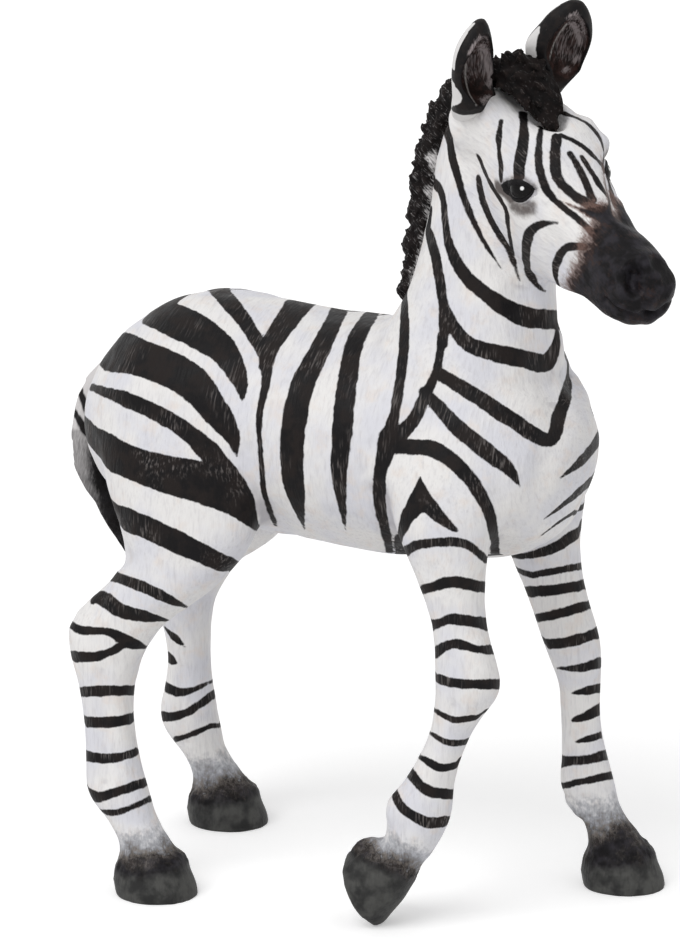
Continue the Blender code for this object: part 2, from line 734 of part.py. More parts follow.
def shared_neighbours(edge):
    """How many vertices lie next to both ends of an edge; one per face where it can shrink safely."""
    first, second = edge.verts
    return len({e.other_vert(first) for e in first.link_edges} & {e.other_vert(second) for e in second.link_edges})


def nostrils_cut(head):
    along, aside, above = NOSTRIL_PLACE_SHARES
    for hand in (-1, 1):
        form = bmesh.new()
        bmesh.ops.create_icosphere(form, subdivisions=2, radius=NOSTRIL_RADIUS)
        bmesh.ops.translate(form, verts=form.verts, vec=head_point(along, hand * aside, above))
        cutter = finished("nostril", form)
        combined(head, cutter, "DIFFERENCE")
        discarded(cutter)


def painted(obj, look):
    colour, roughness = look
    material = bpy.data.materials.new(obj.name)
    material.use_nodes = True
    shader = material.node_tree.nodes["Principled BSDF"]
    shader.inputs["Base Color"].default_value = (*colour, 1)
    shader.inputs["Roughness"].default_value = roughness
    shader.inputs["Metallic"].default_value = 0
    obj.data.materials.clear()
    obj.data.materials.append(material)
    obj.data.shade_smooth()
    obj.data.set_sharp_from_angle(angle=CREASE_ANGLE)


def moved_to_ground_centre(objects):
    """All castings moved so that the origin is under the middle of the figure."""
    points = [vertex.co for obj in objects for vertex in obj.data.vertices]
    middle = Vector(((min(p.x for p in points) + max(p.x for p in points)) / 2,
                     (min(p.y for p in points) + max(p.y for p in points)) / 2,
                     min(p.z for p in points)))
    for obj in objects:
        obj.data.transform(Matrix.Translation(-middle))
    return middle


def main():
    clear_scene()
    castings = cut_castings(master_form())
    mane = mane_form()
    forelock = forelock_form()
    tail = tail_form()
    ears = {"right_ear": ear_form("right_ear", -1), "left_ear": ear_form("left_ear", 1)}
    seated(mane, castings["torso"], castings["neck"], castings["head"], forelock)
    seated(tail, castings["torso"])
    for ear in ears.values():
        seated(ear, castings["head"], forelock)
    seated(forelock, castings["head"], castings["neck"])
    nostrils_cut(castings["head"])
    everything = [*castings.values(), mane, forelock, tail, *ears.values()]
    for obj in everything:
        cleaned(obj)
    for casting in castings.values():
        painted(casting, PAINTED_WHITE)
    for hair in (mane, forelock, *ears.values()):
        painted(hair, PAINTED_BLACK)
    painted(tail, TAIL_GREY)
    return moved_to_ground_centre(everything)


SHIFT = main()
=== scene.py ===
"""Zebra foal, a moulded and hand-painted toy animal figure about 80 mm tall.

It is cast in soft vinyl as separate pieces, which are glued, filled and then painted by hand.
Pixels of the photograph place what is painted or engraved on it. They are read from its top left corner.
"""

import math
from types import SimpleNamespace

import bmesh
import bpy
import numpy as np
from mathutils import Matrix, Vector, noise
from mathutils.bvhtree import BVHTree


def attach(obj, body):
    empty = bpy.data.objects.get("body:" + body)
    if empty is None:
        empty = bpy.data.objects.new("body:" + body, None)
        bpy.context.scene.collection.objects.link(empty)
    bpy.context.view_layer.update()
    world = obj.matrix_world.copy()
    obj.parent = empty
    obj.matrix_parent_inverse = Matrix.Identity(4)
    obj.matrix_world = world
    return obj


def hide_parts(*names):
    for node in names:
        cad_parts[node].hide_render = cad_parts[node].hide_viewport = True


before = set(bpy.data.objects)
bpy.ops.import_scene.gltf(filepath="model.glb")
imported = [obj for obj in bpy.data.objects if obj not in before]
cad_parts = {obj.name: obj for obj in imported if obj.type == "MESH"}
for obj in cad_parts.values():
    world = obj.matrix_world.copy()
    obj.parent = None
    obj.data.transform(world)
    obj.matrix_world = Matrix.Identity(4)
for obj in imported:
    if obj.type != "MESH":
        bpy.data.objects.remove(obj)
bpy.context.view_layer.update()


# Viewpoint
# The camera stands in front of the foal's right side and a little above it, as in the photograph.
# Its place and its lens were fitted to the hooves and to the lines of the trunk.

MM = 0.001
VIEW_TURN = math.radians(25)
VIEW_RISE = math.radians(14)
VIEW_PLACE = Vector((178.5, -391.2, 145.2)) * MM
MID_FIGURE = Vector((0, 0, 40 * MM))
PICTURE_WIDTH = 680
PICTURE_HEIGHT = 939
FOCAL_PIXELS = 5085
SENSOR_HEIGHT = 36

view_right = Vector((math.cos(VIEW_TURN), math.sin(VIEW_TURN), 0))
view_back = Vector((
    math.sin(VIEW_TURN) * math.cos(VIEW_RISE),
    -math.cos(VIEW_TURN) * math.cos(VIEW_RISE),
    math.sin(VIEW_RISE),
))
view_up = view_back.cross(view_right)
PIXEL = (VIEW_PLACE - MID_FIGURE).dot(view_back) / FOCAL_PIXELS

camera_data = bpy.data.cameras.new("portrait_camera")
camera_data.sensor_fit = "VERTICAL"
camera_data.sensor_height = SENSOR_HEIGHT
camera_data.lens = FOCAL_PIXELS * SENSOR_HEIGHT / PICTURE_HEIGHT
camera_data.clip_start = 10 * MM
camera = bpy.data.objects.new("portrait_camera", camera_data)
bpy.context.scene.collection.objects.link(camera)
view_axes = Matrix((view_right, view_up, view_back)).transposed()
camera.matrix_world = Matrix.Translation(VIEW_PLACE) @ view_axes.to_4x4()
bpy.context.scene.camera = camera


# Body castings: the common skin
# Trunk, neck, head and legs are solid castings of soft vinyl, which are glued together.
# Their joints are filled and rubbed down, so that one smooth skin runs over all of them.

CASTINGS = ("torso", "neck", "head", "right_foreleg", "left_foreleg", "right_hindleg", "left_hindleg")
WELD = 0.0001 * MM
FILLER = 0.20 * MM
SKIN_GRID = 0.235 * MM
# skin up to this height is drawn down on to the table again, after the smoothing
SOLE_REACH = 0.9 * MM
SOLE_DROP = 0.15 * MM


def meshed(form, name):
    mesh = bpy.data.meshes.new(name)
    form.to_mesh(mesh)
    form.free()
    return mesh


def linked(name, form):
    """A new object that holds the bmesh."""
    obj = bpy.data.objects.new(name, meshed(form, name))
    bpy.context.scene.collection.objects.link(obj)
    return obj


def settled(obj):
    """The object's modifiers are worked into its mesh."""
    graph = bpy.context.evaluated_depsgraph_get()
    mesh = bpy.data.meshes.new_from_object(obj.evaluated_get(graph))
    obj.modifiers.clear()
    obj.data = mesh


def welded(name, swell):
    """A solid's own closed form, taken from its loose triangles and swollen by a length."""
    form = bmesh.new()
    form.from_mesh(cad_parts[name].data)
    bmesh.ops.remove_doubles(form, verts=form.verts, dist=WELD)
    form.normal_update()
    places = [vert.co + vert.normal * swell for vert in form.verts]
    for vert, place in zip(form.verts, places):
        vert.co = place
    return form


def modified(obj, kind, **settings):
    modifier = obj.modifiers.new(kind.lower(), kind)
    for setting, value in settings.items():
        setattr(modifier, setting, value)


def outer_shell(obj):
    """Only the largest connected surface stays: what is left of sockets inside goes."""
    form = bmesh.new()
    form.from_mesh(obj.data)
    unseen = set(form.verts)
    shells = []
    while unseen:
        shell = [unseen.pop()]
        for vert in shell:
            others = [edge.other_vert(vert) for edge in vert.link_edges]
            fresh = [other for other in others if other in unseen]
            unseen.difference_update(fresh)
            shell += fresh
        shells.append(shell)
    shells.sort(key=len)
    for shell in shells[:-1]:
        bmesh.ops.delete(form, geom=shell, context="VERTS")
    form.to_mesh(obj.data)
    form.free()


def places_of(mesh):
    places = np.empty(len(mesh.vertices) * 3)
    mesh.vertices.foreach_get("co", places)
    return places.reshape(-1, 3)


def normals_of(mesh):
    normals = np.empty(len(mesh.vertices) * 3, np.float32)
    mesh.vertex_normals.foreach_get("vector", normals)
    return normals.reshape(-1, 3).astype(float)


def placed(mesh, places):
    mesh.vertices.foreach_set("co", places.ravel())
    mesh.update()


whole = bmesh.new()
for casting in CASTINGS:
    carrier = meshed(welded(casting, FILLER), casting)
    whole.from_mesh(carrier)
    bpy.data.meshes.remove(carrier)
skin = linked("body_skin", whole)
modified(skin, "REMESH", mode="VOXEL", voxel_size=SKIN_GRID)
modified(skin, "SMOOTH", iterations=8)
modified(skin, "DISPLACE", strength=-FILLER, mid_level=0)
modified(skin, "SMOOTH", iterations=12)
settled(skin)
outer_shell(skin)
points = places_of(skin.data)
low = points[:, 2] < SOLE_REACH
points[low, 2] = np.maximum(0, (points[low, 2] - SOLE_DROP) * SOLE_REACH / (SOLE_REACH - SOLE_DROP))
placed(skin.data, points)


# Body castings: relief
# Muscles, folds and sinews are left in the vinyl by the maker's modelling tool, alike on both flanks.
# Each is a line of pixels of the photograph, which is cast on to the skin and raised or pressed in.

MIRROR_PLACE = Vector((0, -0.31, 0)) * MM
SIDEWAYS = Vector((0, 1, 0))
STEPS_PER_SPAN = 5
# the reach of the rays along which the skin is sought, and how many places are tried beside the outline
NEAREST_SEEN = 300 * MM
FARTHEST_SEEN = 520 * MM
SEEN_TRIES = 90
LINE_HALF = 0.03 * MM
THINNEST = 0.02 * MM
# reach and height in mm, then the pixels that the line runs through
FLANK_RELIEF = (
    (2.6, -0.28, ((248, 455), (262, 492), (282, 528))),
    (3.4, -0.16, ((158, 372), (146, 430), (158, 500), (176, 560))),
    (3.0, 0.18, ((205, 440), (232, 480), (240, 530))),
    (3.0, -0.26, ((446, 300), (440, 350), (424, 405), (404, 452))),
    (3.4, -0.18, ((372, 350), (368, 420), (374, 490))),
    (1.7, -0.34, ((378, 492), (388, 525), (400, 550))),
    (4.2, 0.34, ((405, 478), (430, 520))),
    (2.2, -0.18, ((498, 500), (496, 540), (490, 556))),
    (3.2, 0.20, ((470, 420), (512, 470), (520, 505))),
    (2.2, -0.22, ((520, 300), (536, 345), (552, 400))),
    (2.6, 0.14, ((495, 300), (505, 350), (515, 400))),
    (1.5, -0.07, ((326, 400), (322, 460), (330, 530))),
    (1.5, -0.07, ((296, 390), (280, 450), (286, 500))),
    (1.5, -0.07, ((366, 470), (358, 500), (366, 540))),
    (2.6, 0.20, ((210, 300), (236, 310))),
    (4.5, 0.32, ((240, 294), (268, 301), (300, 308), (340, 313), (380, 316))),
    (4.0, 0.32, ((262, 538), (300, 534), (340, 544), (380, 551))),
    (3.0, 0.35, ((108, 354), (124, 338))),
)
FRONT_RELIEF = (
    (2.2, -0.34, ((562, 412), (550, 450), (532, 500), (510, 548))),
    (3.0, 0.16, ((585, 450), (572, 500), (556, 545))),
    (2.4, 0.50, ((558, 346), (563, 362), (571, 378), (579, 390))),
)
LEG_RELIEF = (
    (1.5, -0.20, ((128, 556), (104, 592), (88, 618))),
    (1.3, 0.16, ((72, 628), (80, 650))),
    (1.0, -0.16, ((100, 672), (103, 720), (104, 780))),
    (1.1, 0.12, ((120, 672), (122, 720), (124, 780))),
    (1.5, -0.14, ((432, 575), (448, 605), (456, 640))),
    (1.2, 0.16, ((478, 648), (486, 668))),
    (0.9, -0.14, ((452, 706), (436, 740), (420, 776))),
    (0.9, -0.12, ((582, 690), (584, 730), (588, 780))),
    (1.2, 0.12, ((590, 650), (594, 668))),
    (0.9, -0.12, ((182, 668), (180, 700), (186, 740))),
    (1.5, 0.30, ((112, 572), (94, 592), (80, 606))),
    (1.4, 0.28, ((388, 804), (387, 812))),
    (1.3, -0.60, ((386, 826), (384, 832))),
    (1.3, 0.45, ((370, 840), (362, 846))),
    (1.1, 0.40, ((566, 806), (573, 813))),
)
# the skin is a little uneven, but not at the soles
UNEVEN_SIZE = 1.7 * MM
UNEVEN_HEIGHT = 0.035 * MM
EVEN_FOOT = 0.4 * MM
UNEVEN_RISE = 2 * MM


def searchable(mesh):
    places = [vert.co for vert in mesh.vertices]
    return BVHTree.FromPolygons(places, [face.vertices for face in mesh.polygons])


def flowing(rows, steps=STEPS_PER_SPAN):
    """More rows on a smooth curve through the given ones."""
    rows = np.array(rows, float)
    padded = np.vstack((rows[:1], rows, rows[-1:]))
    result = []
    for before, here, there, after in zip(padded, padded[1:], padded[2:], padded[3:]):
        for t in np.arange(steps) / steps:
            result.append(0.5 * (
                2 * here + (there - before) * t + (2 * before - 5 * here + 4 * there - after) * t ** 2
                + (3 * here - before - 3 * there + after) * t ** 3
            ))
    result.append(rows[-1])
    return np.array(result)


def seen(x, y, tree=None):
    """The point of a surface under a pixel, or the nearest one where it lies just outside the outline."""
    tree = tree or skin_tree
    across = view_right * (x - PICTURE_WIDTH / 2)
    up = view_up * (PICTURE_HEIGHT / 2 - y)
    toward = (across + up - view_back * FOCAL_PIXELS).normalized()
    hit = tree.ray_cast(VIEW_PLACE, toward)[0]
    if hit:
        return hit
    reaches = np.linspace(NEAREST_SEEN, FARTHEST_SEEN, SEEN_TRIES)
    tries = [tree.find_nearest(VIEW_PLACE + toward * reach) for reach in reaches]
    return min(tries, key=lambda found: found[3])[0]


def traced(rows, tree=None):
    """Points of a surface under a smooth line of pixels."""
    return np.array([seen(x, y, tree) for x, y in flowing(rows)])


def opposite(path, place=MIRROR_PLACE, across=SIDEWAYS):
    """The same points on the other side of the animal or of its head."""
    points = [Vector(point) - across * (2 * (Vector(point) - place).dot(across)) for point in path]
    return np.array([skin_tree.find_nearest(point)[0] for point in points])


def distance(places, mark, far):
    """How far each place is from the edge of a mark; inside is negative, and nothing is farther than far."""
    path, halves = mark
    low = path.min(0) - far - halves.max()
    high = path.max(0) + far + halves.max()
    near = np.nonzero(np.all((places > low) & (places < high), axis=1))[0]
    result = np.full(len(places), far)
    if len(near) == 0:
        return result
    there = places[near]
    best = result[near]
    for start, end, half, next_half in zip(path, path[1:], halves, halves[1:]):
        run = end - start
        share = np.clip((there - start) @ run / max(run @ run, 1e-12), 0, 1)
        gap = np.linalg.norm(there - start - share[:, None] * run, axis=1)
        width = half + (next_half - half) * share
        best = np.minimum(best, np.where(width > THINNEST, gap - width, far))
    result[near] = best
    return result


def closeness(places, path, reach):
    """1 on the path, falling smoothly to 0 at the given reach."""
    gap = distance(places, (path, np.full(len(path), LINE_HALF)), reach)
    return np.clip(1 - (gap / reach) ** 2, 0, 1) ** 2


def engraved(mesh, lines, hold=1):
    """The surface pressed in (negative height) or raised along paths of a given reach."""
    points = places_of(mesh)
    lift = np.zeros(len(points))
    for path, reach, height in lines:
        lift += height * closeness(points, path, reach)
    placed(mesh, points + normals_of(mesh) * (lift * hold)[:, None])


def relief_lines(table, *copies):
    """Lines for the tool from a table, each of them copied to where the functions lay its path."""
    traces = [(traced(rows), reach * MM, height * MM) for reach, height, rows in table]
    return [(copy(path), *sizes) for path, *sizes in traces for copy in (np.array, *copies)]


skin_tree = searchable(skin.data)
engraved(skin.data, relief_lines(FLANK_RELIEF, opposite) + relief_lines(FRONT_RELIEF + LEG_RELIEF))
points = places_of(skin.data)
uneven = np.array([noise.noise(Vector(point / UNEVEN_SIZE)) for point in points])
standing = np.clip((points[:, 2] - EVEN_FOOT) / UNEVEN_RISE, 0, 1)
placed(skin.data, points + normals_of(skin.data) * (uneven * standing * UNEVEN_HEIGHT)[:, None])
skin_tree = searchable(skin.data)


# Body castings: parting
# The castings of vinyl meet at flat joints, where pegs are glued into sockets.
# The joints lie across the neck's root, behind the jaw, at the elbows and above the hocks.

NECK_LEAN = math.radians(26)
NECK_JOINT = (Vector((9.656, -0.310, 50.15)) * MM, Vector((math.sin(NECK_LEAN), 0, math.cos(NECK_LEAN))))
POLL = Vector((12.556, -0.810, 72.214)) * MM
HEAD_TURN = math.radians(32.5)
HEAD_NOD = math.radians(23)
HEAD_TILT = math.radians(10.6)
turn = Matrix.Rotation(-HEAD_TURN, 3, "Z") @ Matrix.Rotation(HEAD_NOD, 3, "Y")
turn = turn @ Matrix.Rotation(HEAD_TILT, 3, "X")
NOSEWARD = turn @ Vector((1, 0, 0))
HEAD_LEFT = turn @ Vector((0, 1, 0))
BROW_UP = turn @ Vector((0, 0, 1))
HEAD_LEAN = math.radians(48)
HEAD_JOINT = (
    Vector((12.516, 0.633, 65.617)) * MM,
    NOSEWARD * math.cos(HEAD_LEAN) + BROW_UP * math.sin(HEAD_LEAN),
)
JAW_LIMIT = (POLL - BROW_UP * 14.17 * MM, BROW_UP)
LEG_TOPS = {
    "right_foreleg": 27.88 * MM, "left_foreleg": 27.41 * MM,
    "right_hindleg": 25.99 * MM, "left_hindleg": 25.99 * MM,
}
MID_TRUNK = -4.84 * MM
CUT_ZONE = 0.6 * MM
# each cut, with the lowest and the highest place of the skin that it goes through
CUTS = [(NECK_JOINT, 30 * MM, 60 * MM), (HEAD_JOINT, 50 * MM, 90 * MM), (JAW_LIMIT, 50 * MM, 90 * MM)]
CUTS += [((Vector((0, 0, top)), Vector((0, 0, 1))), 20 * MM, 30 * MM) for top in set(LEG_TOPS.values())]


def beyond(places, plane):
    return (places - plane[0]) @ plane[1] > 0


def casting_at(places):
    """The name of the casting that each place belongs to."""
    names = np.full(len(places), "torso", dtype=object)
    raised = beyond(places, NECK_JOINT)
    names[raised] = "neck"
    names[raised & beyond(places, HEAD_JOINT) & beyond(places, JAW_LIMIT)] = "head"
    for name, top in LEG_TOPS.items():
        fore = (places[:, 0] > MID_TRUNK) == ("fore" in name)
        side = (places[:, 1] < MIRROR_PLACE.y) == name.startswith("right")
        names[(places[:, 2] < top) & fore & side] = name
    return names


def scored(form, plane, lowest, highest):
    """Edges of the skin along a plane, between two heights."""
    place, normal = plane
    near = [
        face for face in form.faces
        if abs((face.calc_center_median() - place).dot(normal)) < CUT_ZONE
        and lowest < face.calc_center_median().z < highest
    ]
    edges = {edge for face in near for edge in face.edges}
    verts = {vert for face in near for vert in face.verts}
    bmesh.ops.bisect_plane(form, geom=[*near, *edges, *verts], plane_co=place, plane_no=normal, dist=WELD)


whole = bmesh.new()
whole.from_mesh(skin.data)
for cut in CUTS:
    scored(whole, *cut)
whole.to_mesh(skin.data)
whole.free()
centres = np.empty(len(skin.data.polygons) * 3)
skin.data.polygons.foreach_get("center", centres)
owners = casting_at(centres.reshape(-1, 3))

castings = {}
for casting in CASTINGS:
    form = bmesh.new()
    form.from_mesh(skin.data)
    form.faces.ensure_lookup_table()
    others = [form.faces[i] for i in np.nonzero(owners != casting)[0]]
    bmesh.ops.delete(form, geom=others, context="FACES")
    if casting == "head":
        bmesh.ops.subdivide_edges(form, edges=form.edges, cuts=1, use_grid_fill=True)
    rim = [edge for edge in form.edges if edge.is_boundary]
    for edge in rim:
        edge.smooth = False
    filled = bmesh.ops.holes_fill(form, edges=rim, sides=0)
    bmesh.ops.triangulate(form, faces=filled["faces"])
    castings[casting] = linked(casting + "_casting", form)
skin_places = places_of(skin.data)
bpy.data.objects.remove(skin)


# Head: face relief
# The head is one casting of vinyl. Brow, cheek, nostrils and lips are modelled on it, alike on both sides.
# The lids stand round openings, through which the painted eyeballs look.

# reach and height in mm, then pixels: first what only the near ear's seat and the far brow have,
# then what both sides of the face have
LONE_RELIEF = (
    (3.4, 1.25, ((462, 122), (475, 124), (487, 118))),
    (2.2, 0.50, ((494, 96), (503, 95), (514, 99))),
    (1.5, 0.60, ((592, 122), (601, 131), (606, 141))),
    (2.4, -0.62, ((613, 166), (616, 185), (621, 200), (627, 214))),
)
FACE_RELIEF = (
    (2.2, 0.36, ((566, 284), (582, 289), (601, 304))),
    (1.5, 0.20, ((503, 181), (512, 174), (525, 171), (538, 177))),
    (2.2, -0.16, ((498, 138), (505, 156))),
    (1.3, 0.16, ((541, 207), (556, 221), (574, 233))),
    (2.0, -0.16, ((554, 200), (576, 221), (598, 238))),
    (1.6, -0.16, ((506, 218), (508, 250), (520, 278), (546, 297))),
    (3.4, 0.18, ((536, 240), (542, 268))),
    (1.8, 0.34, ((636, 264), (632, 274), (632, 286))),
    (1.6, 0.16, ((622, 302), (642, 306), (658, 300))),
    (1.2, 0.18, ((616, 316), (630, 322), (646, 321))),
    (0.42, -0.42, ((606, 300), (616, 309), (628, 314), (642, 316), (654, 313), (664, 305))),
    (0.9, -0.14, ((650, 262), (660, 276), (662, 290))),
)
# the nostrils, the far one pressed in less
NOSTRIL = ((634, 272), (631, 279), (633, 288))
NOSTRIL_REACH = 1.05 * MM
NOSTRIL_DEPTHS = (-1.30 * MM, -0.35 * MM)
# the relief fades out towards the joint with the neck
HOLD_REACH = 1.0 * MM
# pixels of the near eye's middle, its corner at the nose and its rear corner
EYE_PIXELS = ((519, 191), (537, 194), (501, 189.5))
FAR_EYE_DROP = 0.8 * MM
EYE_RADIUS = 1.25 * MM
# how far each eyeball stands out of the face
EYE_STANDS = {"right_eye": 0.45 * MM, "left_eye": -0.02 * MM}
EYE_ZONE = 3.2 * MM
OPENING_DEPTH = 0.30 * MM
LID_LENGTH = 1.45 * MM
UPPER_LID = 0.45 * MM
LOWER_LID = 0.38 * MM
LID_THICKNESS = 0.17 * MM
LID_RIM = 0.18 * MM
LID_WIDTH = 0.42 * MM
LID_BLEND = 0.95 * MM
LID_STEEPNESS = 0.85
# how much broader the dark paint is towards the rear corner and on the upper lid
LINER_REAR = 0.22 * MM
LINER_TOP = 0.10 * MM
LINER_END = 1.6


def both_cheeks(path):
    return (path, opposite(path, POLL, HEAD_LEFT))


def eye_frame(stands, centre, nose_corner, rear_corner):
    """Centre of the eyeball and its directions: out, towards the nose and up."""
    out = skin_tree.find_nearest(Vector(centre))[1]
    ahead = Vector(nose_corner) - Vector(rear_corner)
    ahead = (ahead - out * ahead.dot(out)).normalized()
    up = out.cross(ahead)
    if up.dot(BROW_UP) < 0:
        up = -up
    return Vector(centre) - out * (EYE_RADIUS - stands), out, ahead, up


def eased(values, start, end):
    share = np.clip((values - start) / (end - start), 0, 1)
    return share * share * (3 - 2 * share)


def lidded(mesh, eye):
    """An almond opening that shows the ball, and a raised lid round it.

    It returns how far each point lies outside the opening.
    """
    centre, out, ahead, up = eye
    points = places_of(mesh)
    offset = points - centre
    reach = np.linalg.norm(offset, axis=1)
    along = offset @ ahead
    above = offset @ up
    height = np.where(above > 0, UPPER_LID, LOWER_LID)
    slope = 1 - (along / LID_LENGTH) ** 2
    outside = np.maximum((np.abs(above) - height * slope) * LID_STEEPNESS, np.abs(along) - LID_LENGTH)
    direction = offset / reach[:, None]
    near = (reach < EYE_ZONE) & (offset @ out > 0)
    swell = eased(outside, LID_BLEND, LID_WIDTH)
    lid_reach = EYE_RADIUS + LID_THICKNESS * np.sqrt(np.clip(outside / LID_RIM, 0, 1))
    target = np.where(outside < LID_WIDTH, lid_reach, np.maximum(reach, lid_reach))
    reach = np.where(outside < 0, EYE_RADIUS - OPENING_DEPTH, reach * (1 - swell) + target * swell)
    points[near] = (direction * reach[:, None] + centre)[near]
    placed(mesh, points)
    rear = np.clip(-along / LID_LENGTH, 0, LINER_END)
    return np.where(near, outside - LINER_REAR * rear - LINER_TOP * (above > 0), HOLD_REACH)


head = castings["head"]
face_lines = relief_lines(FACE_RELIEF, lambda path: both_cheeks(path)[1]) + relief_lines(LONE_RELIEF)
for path, depth in zip(both_cheeks(traced(NOSTRIL)), NOSTRIL_DEPTHS):
    face_lines.append((path, NOSTRIL_REACH, depth))
hold = np.clip((places_of(head.data) - HEAD_JOINT[0]) @ HEAD_JOINT[1] / HOLD_REACH, 0, 1)
engraved(head.data, face_lines, hold)
right_corners = np.array([seen(*pixel) for pixel in EYE_PIXELS])
left_corners = opposite(right_corners - BROW_UP * FAR_EYE_DROP, POLL, HEAD_LEFT)
eyes = {
    "right_eye": eye_frame(EYE_STANDS["right_eye"], *right_corners),
    "left_eye": eye_frame(EYE_STANDS["left_eye"], *left_corners),
}
face_tree = searchable(head.data)
lid_gap = np.minimum(*(lidded(head.data, eye) for eye in eyes.values()))


# Body castings: painted coat
# White paint is laid over the vinyl, then brown-black stripes by hand with a brush, which frays their edges.
# A stripe is a row of pixels with its width there, cast on to the skin. The far side repeats the near one.

# how much broader a stroke may get on skin that slants away from the camera
MOST_SPREAD = 1.3
# the camera sees a place of the far side when its line of sight first meets the skin this near to it
SAME_PLACE = 1.2 * MM
EDGE_SHARE = 0.5
EDGE_FADE = 2.5
OUTSIDE_TRUNK = 60 * MM
OUTSIDE_LEG = 6 * MM
LEG_ZONE = np.array((5, 5, 0.5)) * MM
STRIPE_REACH = 1.5 * MM
NECK_MIRROR = MIRROR_PLACE + SIDEWAYS * 0.5 * MM
# rows of x, y and width in pixels
RUMP_STRIPES = (
    ((158, 312, 30), (199, 332, 32), (225, 353, 27), (240, 381, 16), (243, 404, 0)),
    ((108, 349, 34), (153, 362, 36), (190, 381, 35), (212, 407, 29), (231, 433, 18), (237, 458, 0)),
    ((86, 385, 6), (105, 392, 10), (125, 399, 15), (158, 414, 16), (186, 431, 17), (210, 453, 22)),
    ((84, 428, 20), (112, 454, 29), (158, 472, 36), (201, 483, 41), (233, 498, 34), (258, 529, 4)),
    ((121, 517, 20), (158, 533, 22), (190, 548, 21), (225, 564, 16), (241, 567, 3)),
    ((210, 453, 22), (226, 476, 26), (243, 500, 22), (256, 524, 6)),
)
BARREL_STRIPES = (
    ((216, 286, 18), (230, 303, 15), (246, 323, 14), (264, 353, 13)),
    ((302, 300, 23), (284, 325, 21), (270, 347, 18), (266, 365, 14)),
    ((267, 355, 14), (266, 381, 9), (259, 420, 6), (261, 455, 5), (264, 490, 5), (270, 510, 5),
     (276, 526, 3)),
    ((340, 309, 13), (321, 347, 18), (301, 390, 24), (292, 444, 24), (294, 488, 19), (305, 531, 0)),
    ((374, 310, 11), (355, 342, 16), (346, 390, 20), (342, 433, 20), (339, 477, 15), (346, 533, 0)),
)
SHOULDER_STRIPES = (
    ((404, 287, 11), (404, 340, 11), (400, 381, 10), (394, 416, 11), (387, 443, 15)),
    ((390, 438, 24), (384, 458, 16), (380, 476, 12), (380, 490, 12), (380, 503, 12), (382, 516, 10),
     (387, 538, 9), (390, 552, 7)),
    ((441, 335, 8), (438, 365, 8), (426, 395, 11), (412, 422, 14), (392, 442, 17)),
    ((438, 373, 12), (476, 396, 15), (509, 418, 16), (548, 440, 14), (559, 416, 13), (567, 390, 11),
     (568, 362, 6)),
    ((424, 392, 10), (433, 401, 12), (459, 429, 16), (489, 453, 16), (509, 469, 12), (522, 490, 0)),
    ((392, 446, 16), (413, 447, 15), (435, 450, 16), (459, 467, 15), (479, 492, 13), (491, 519, 11),
     (495, 554, 8)),
    ((420, 478, 3), (419.5, 488, 10), (419, 497, 17), (413, 508, 17), (405, 521, 12), (400, 537, 9),
     (399, 556, 8)),
    ((420, 480, 4), (422, 494, 14), (429, 506, 16), (440, 517, 12), (450, 526, 8), (456, 530, 5)),
    ((411, 508, 13), (421, 505, 15), (430, 508, 13)),
)
CHEST_STRIPES = (
    ((600, 437, 12), (584, 458, 10), (558, 480, 0)),
    ((594, 478, 11), (569, 500, 8), (543, 520, 1)),
    ((588, 503, 6), (562, 520, 4), (542, 535, 2)),
)
NECK_STRIPES = (
    ((446, 126, 12), (450, 141, 9), (454, 165, 8), (467, 206, 7), (482, 238, 5), (504, 273, 0)),
    ((430, 179, 9), (440, 190, 8), (444, 206, 7), (445, 222, 7), (449, 244, 9), (458, 265, 12),
     (472, 283, 14), (490, 297, 15),
     (508, 309, 18), (530, 318, 20), (560, 319, 17)),
    ((418, 208, 10), (427, 228, 11), (436, 260, 10), (443, 304, 10), (443, 345, 9)),
    ((443, 305, 10), (459, 335, 14), (480, 349, 16), (520, 358, 18), (545, 363, 17), (556, 346, 10),
     (557, 322, 3)),
)
FACE_STRIPES = (
    ((501, 122, 5), (499, 138, 6), (499, 152, 4), (501, 166, 6), (501, 180, 4)),
    ((523, 113, 7), (524, 130, 9), (522, 148, 11), (519, 164, 12), (519, 180, 10)),
    ((541, 128, 5), (539, 145, 7), (539, 165, 8), (544, 184, 9), (552, 197, 7), (564, 208, 6),
     (580, 221, 6), (594, 234, 7)),
    ((557, 137, 9), (555, 158, 11), (558, 178, 10), (575, 196, 9), (602, 212, 11)),
    ((561, 135, 4), (582, 146, 5), (602, 166, 5), (610, 186, 5), (614, 206, 6)),
    ((570, 154, 6), (582, 174, 7), (593, 200, 8)),
    ((582, 157, 4), (596, 179, 6), (609, 198, 7)),
    ((564, 113, 4), (581, 120, 5), (592, 128, 5), (600, 139, 5), (604, 152, 5), (603, 164, 3)),
    ((585, 247, 8), (568, 247, 8), (558, 259, 8), (555, 274, 6), (559, 287, 3)),
    ((558, 223, 3), (545, 223, 7), (532, 231, 10), (527, 247, 10), (528, 268, 9), (536, 284, 6),
     (546, 292, 1)),
    ((478, 152, 4), (484, 170, 5), (493, 188, 5), (504, 207, 6), (507, 230, 7), (512, 255, 5)),
    ((479, 180, 8), (484, 203, 8), (497, 231, 7), (510, 255, 6), (520, 281, 2)),
)
FOREHEAD_STRIPES = 9
# stripes of the trunk that run on over the back, and the way in which the brush is pressed on there
LINKS = ((0, (0.4, 0, -1)), (1, (1, 0, -0.2)), (3, (1, 0, -0.2)), (4, (1, 0, -0.2)), (11, (0, 0, -1)))
THROAT_STRIPE = 1
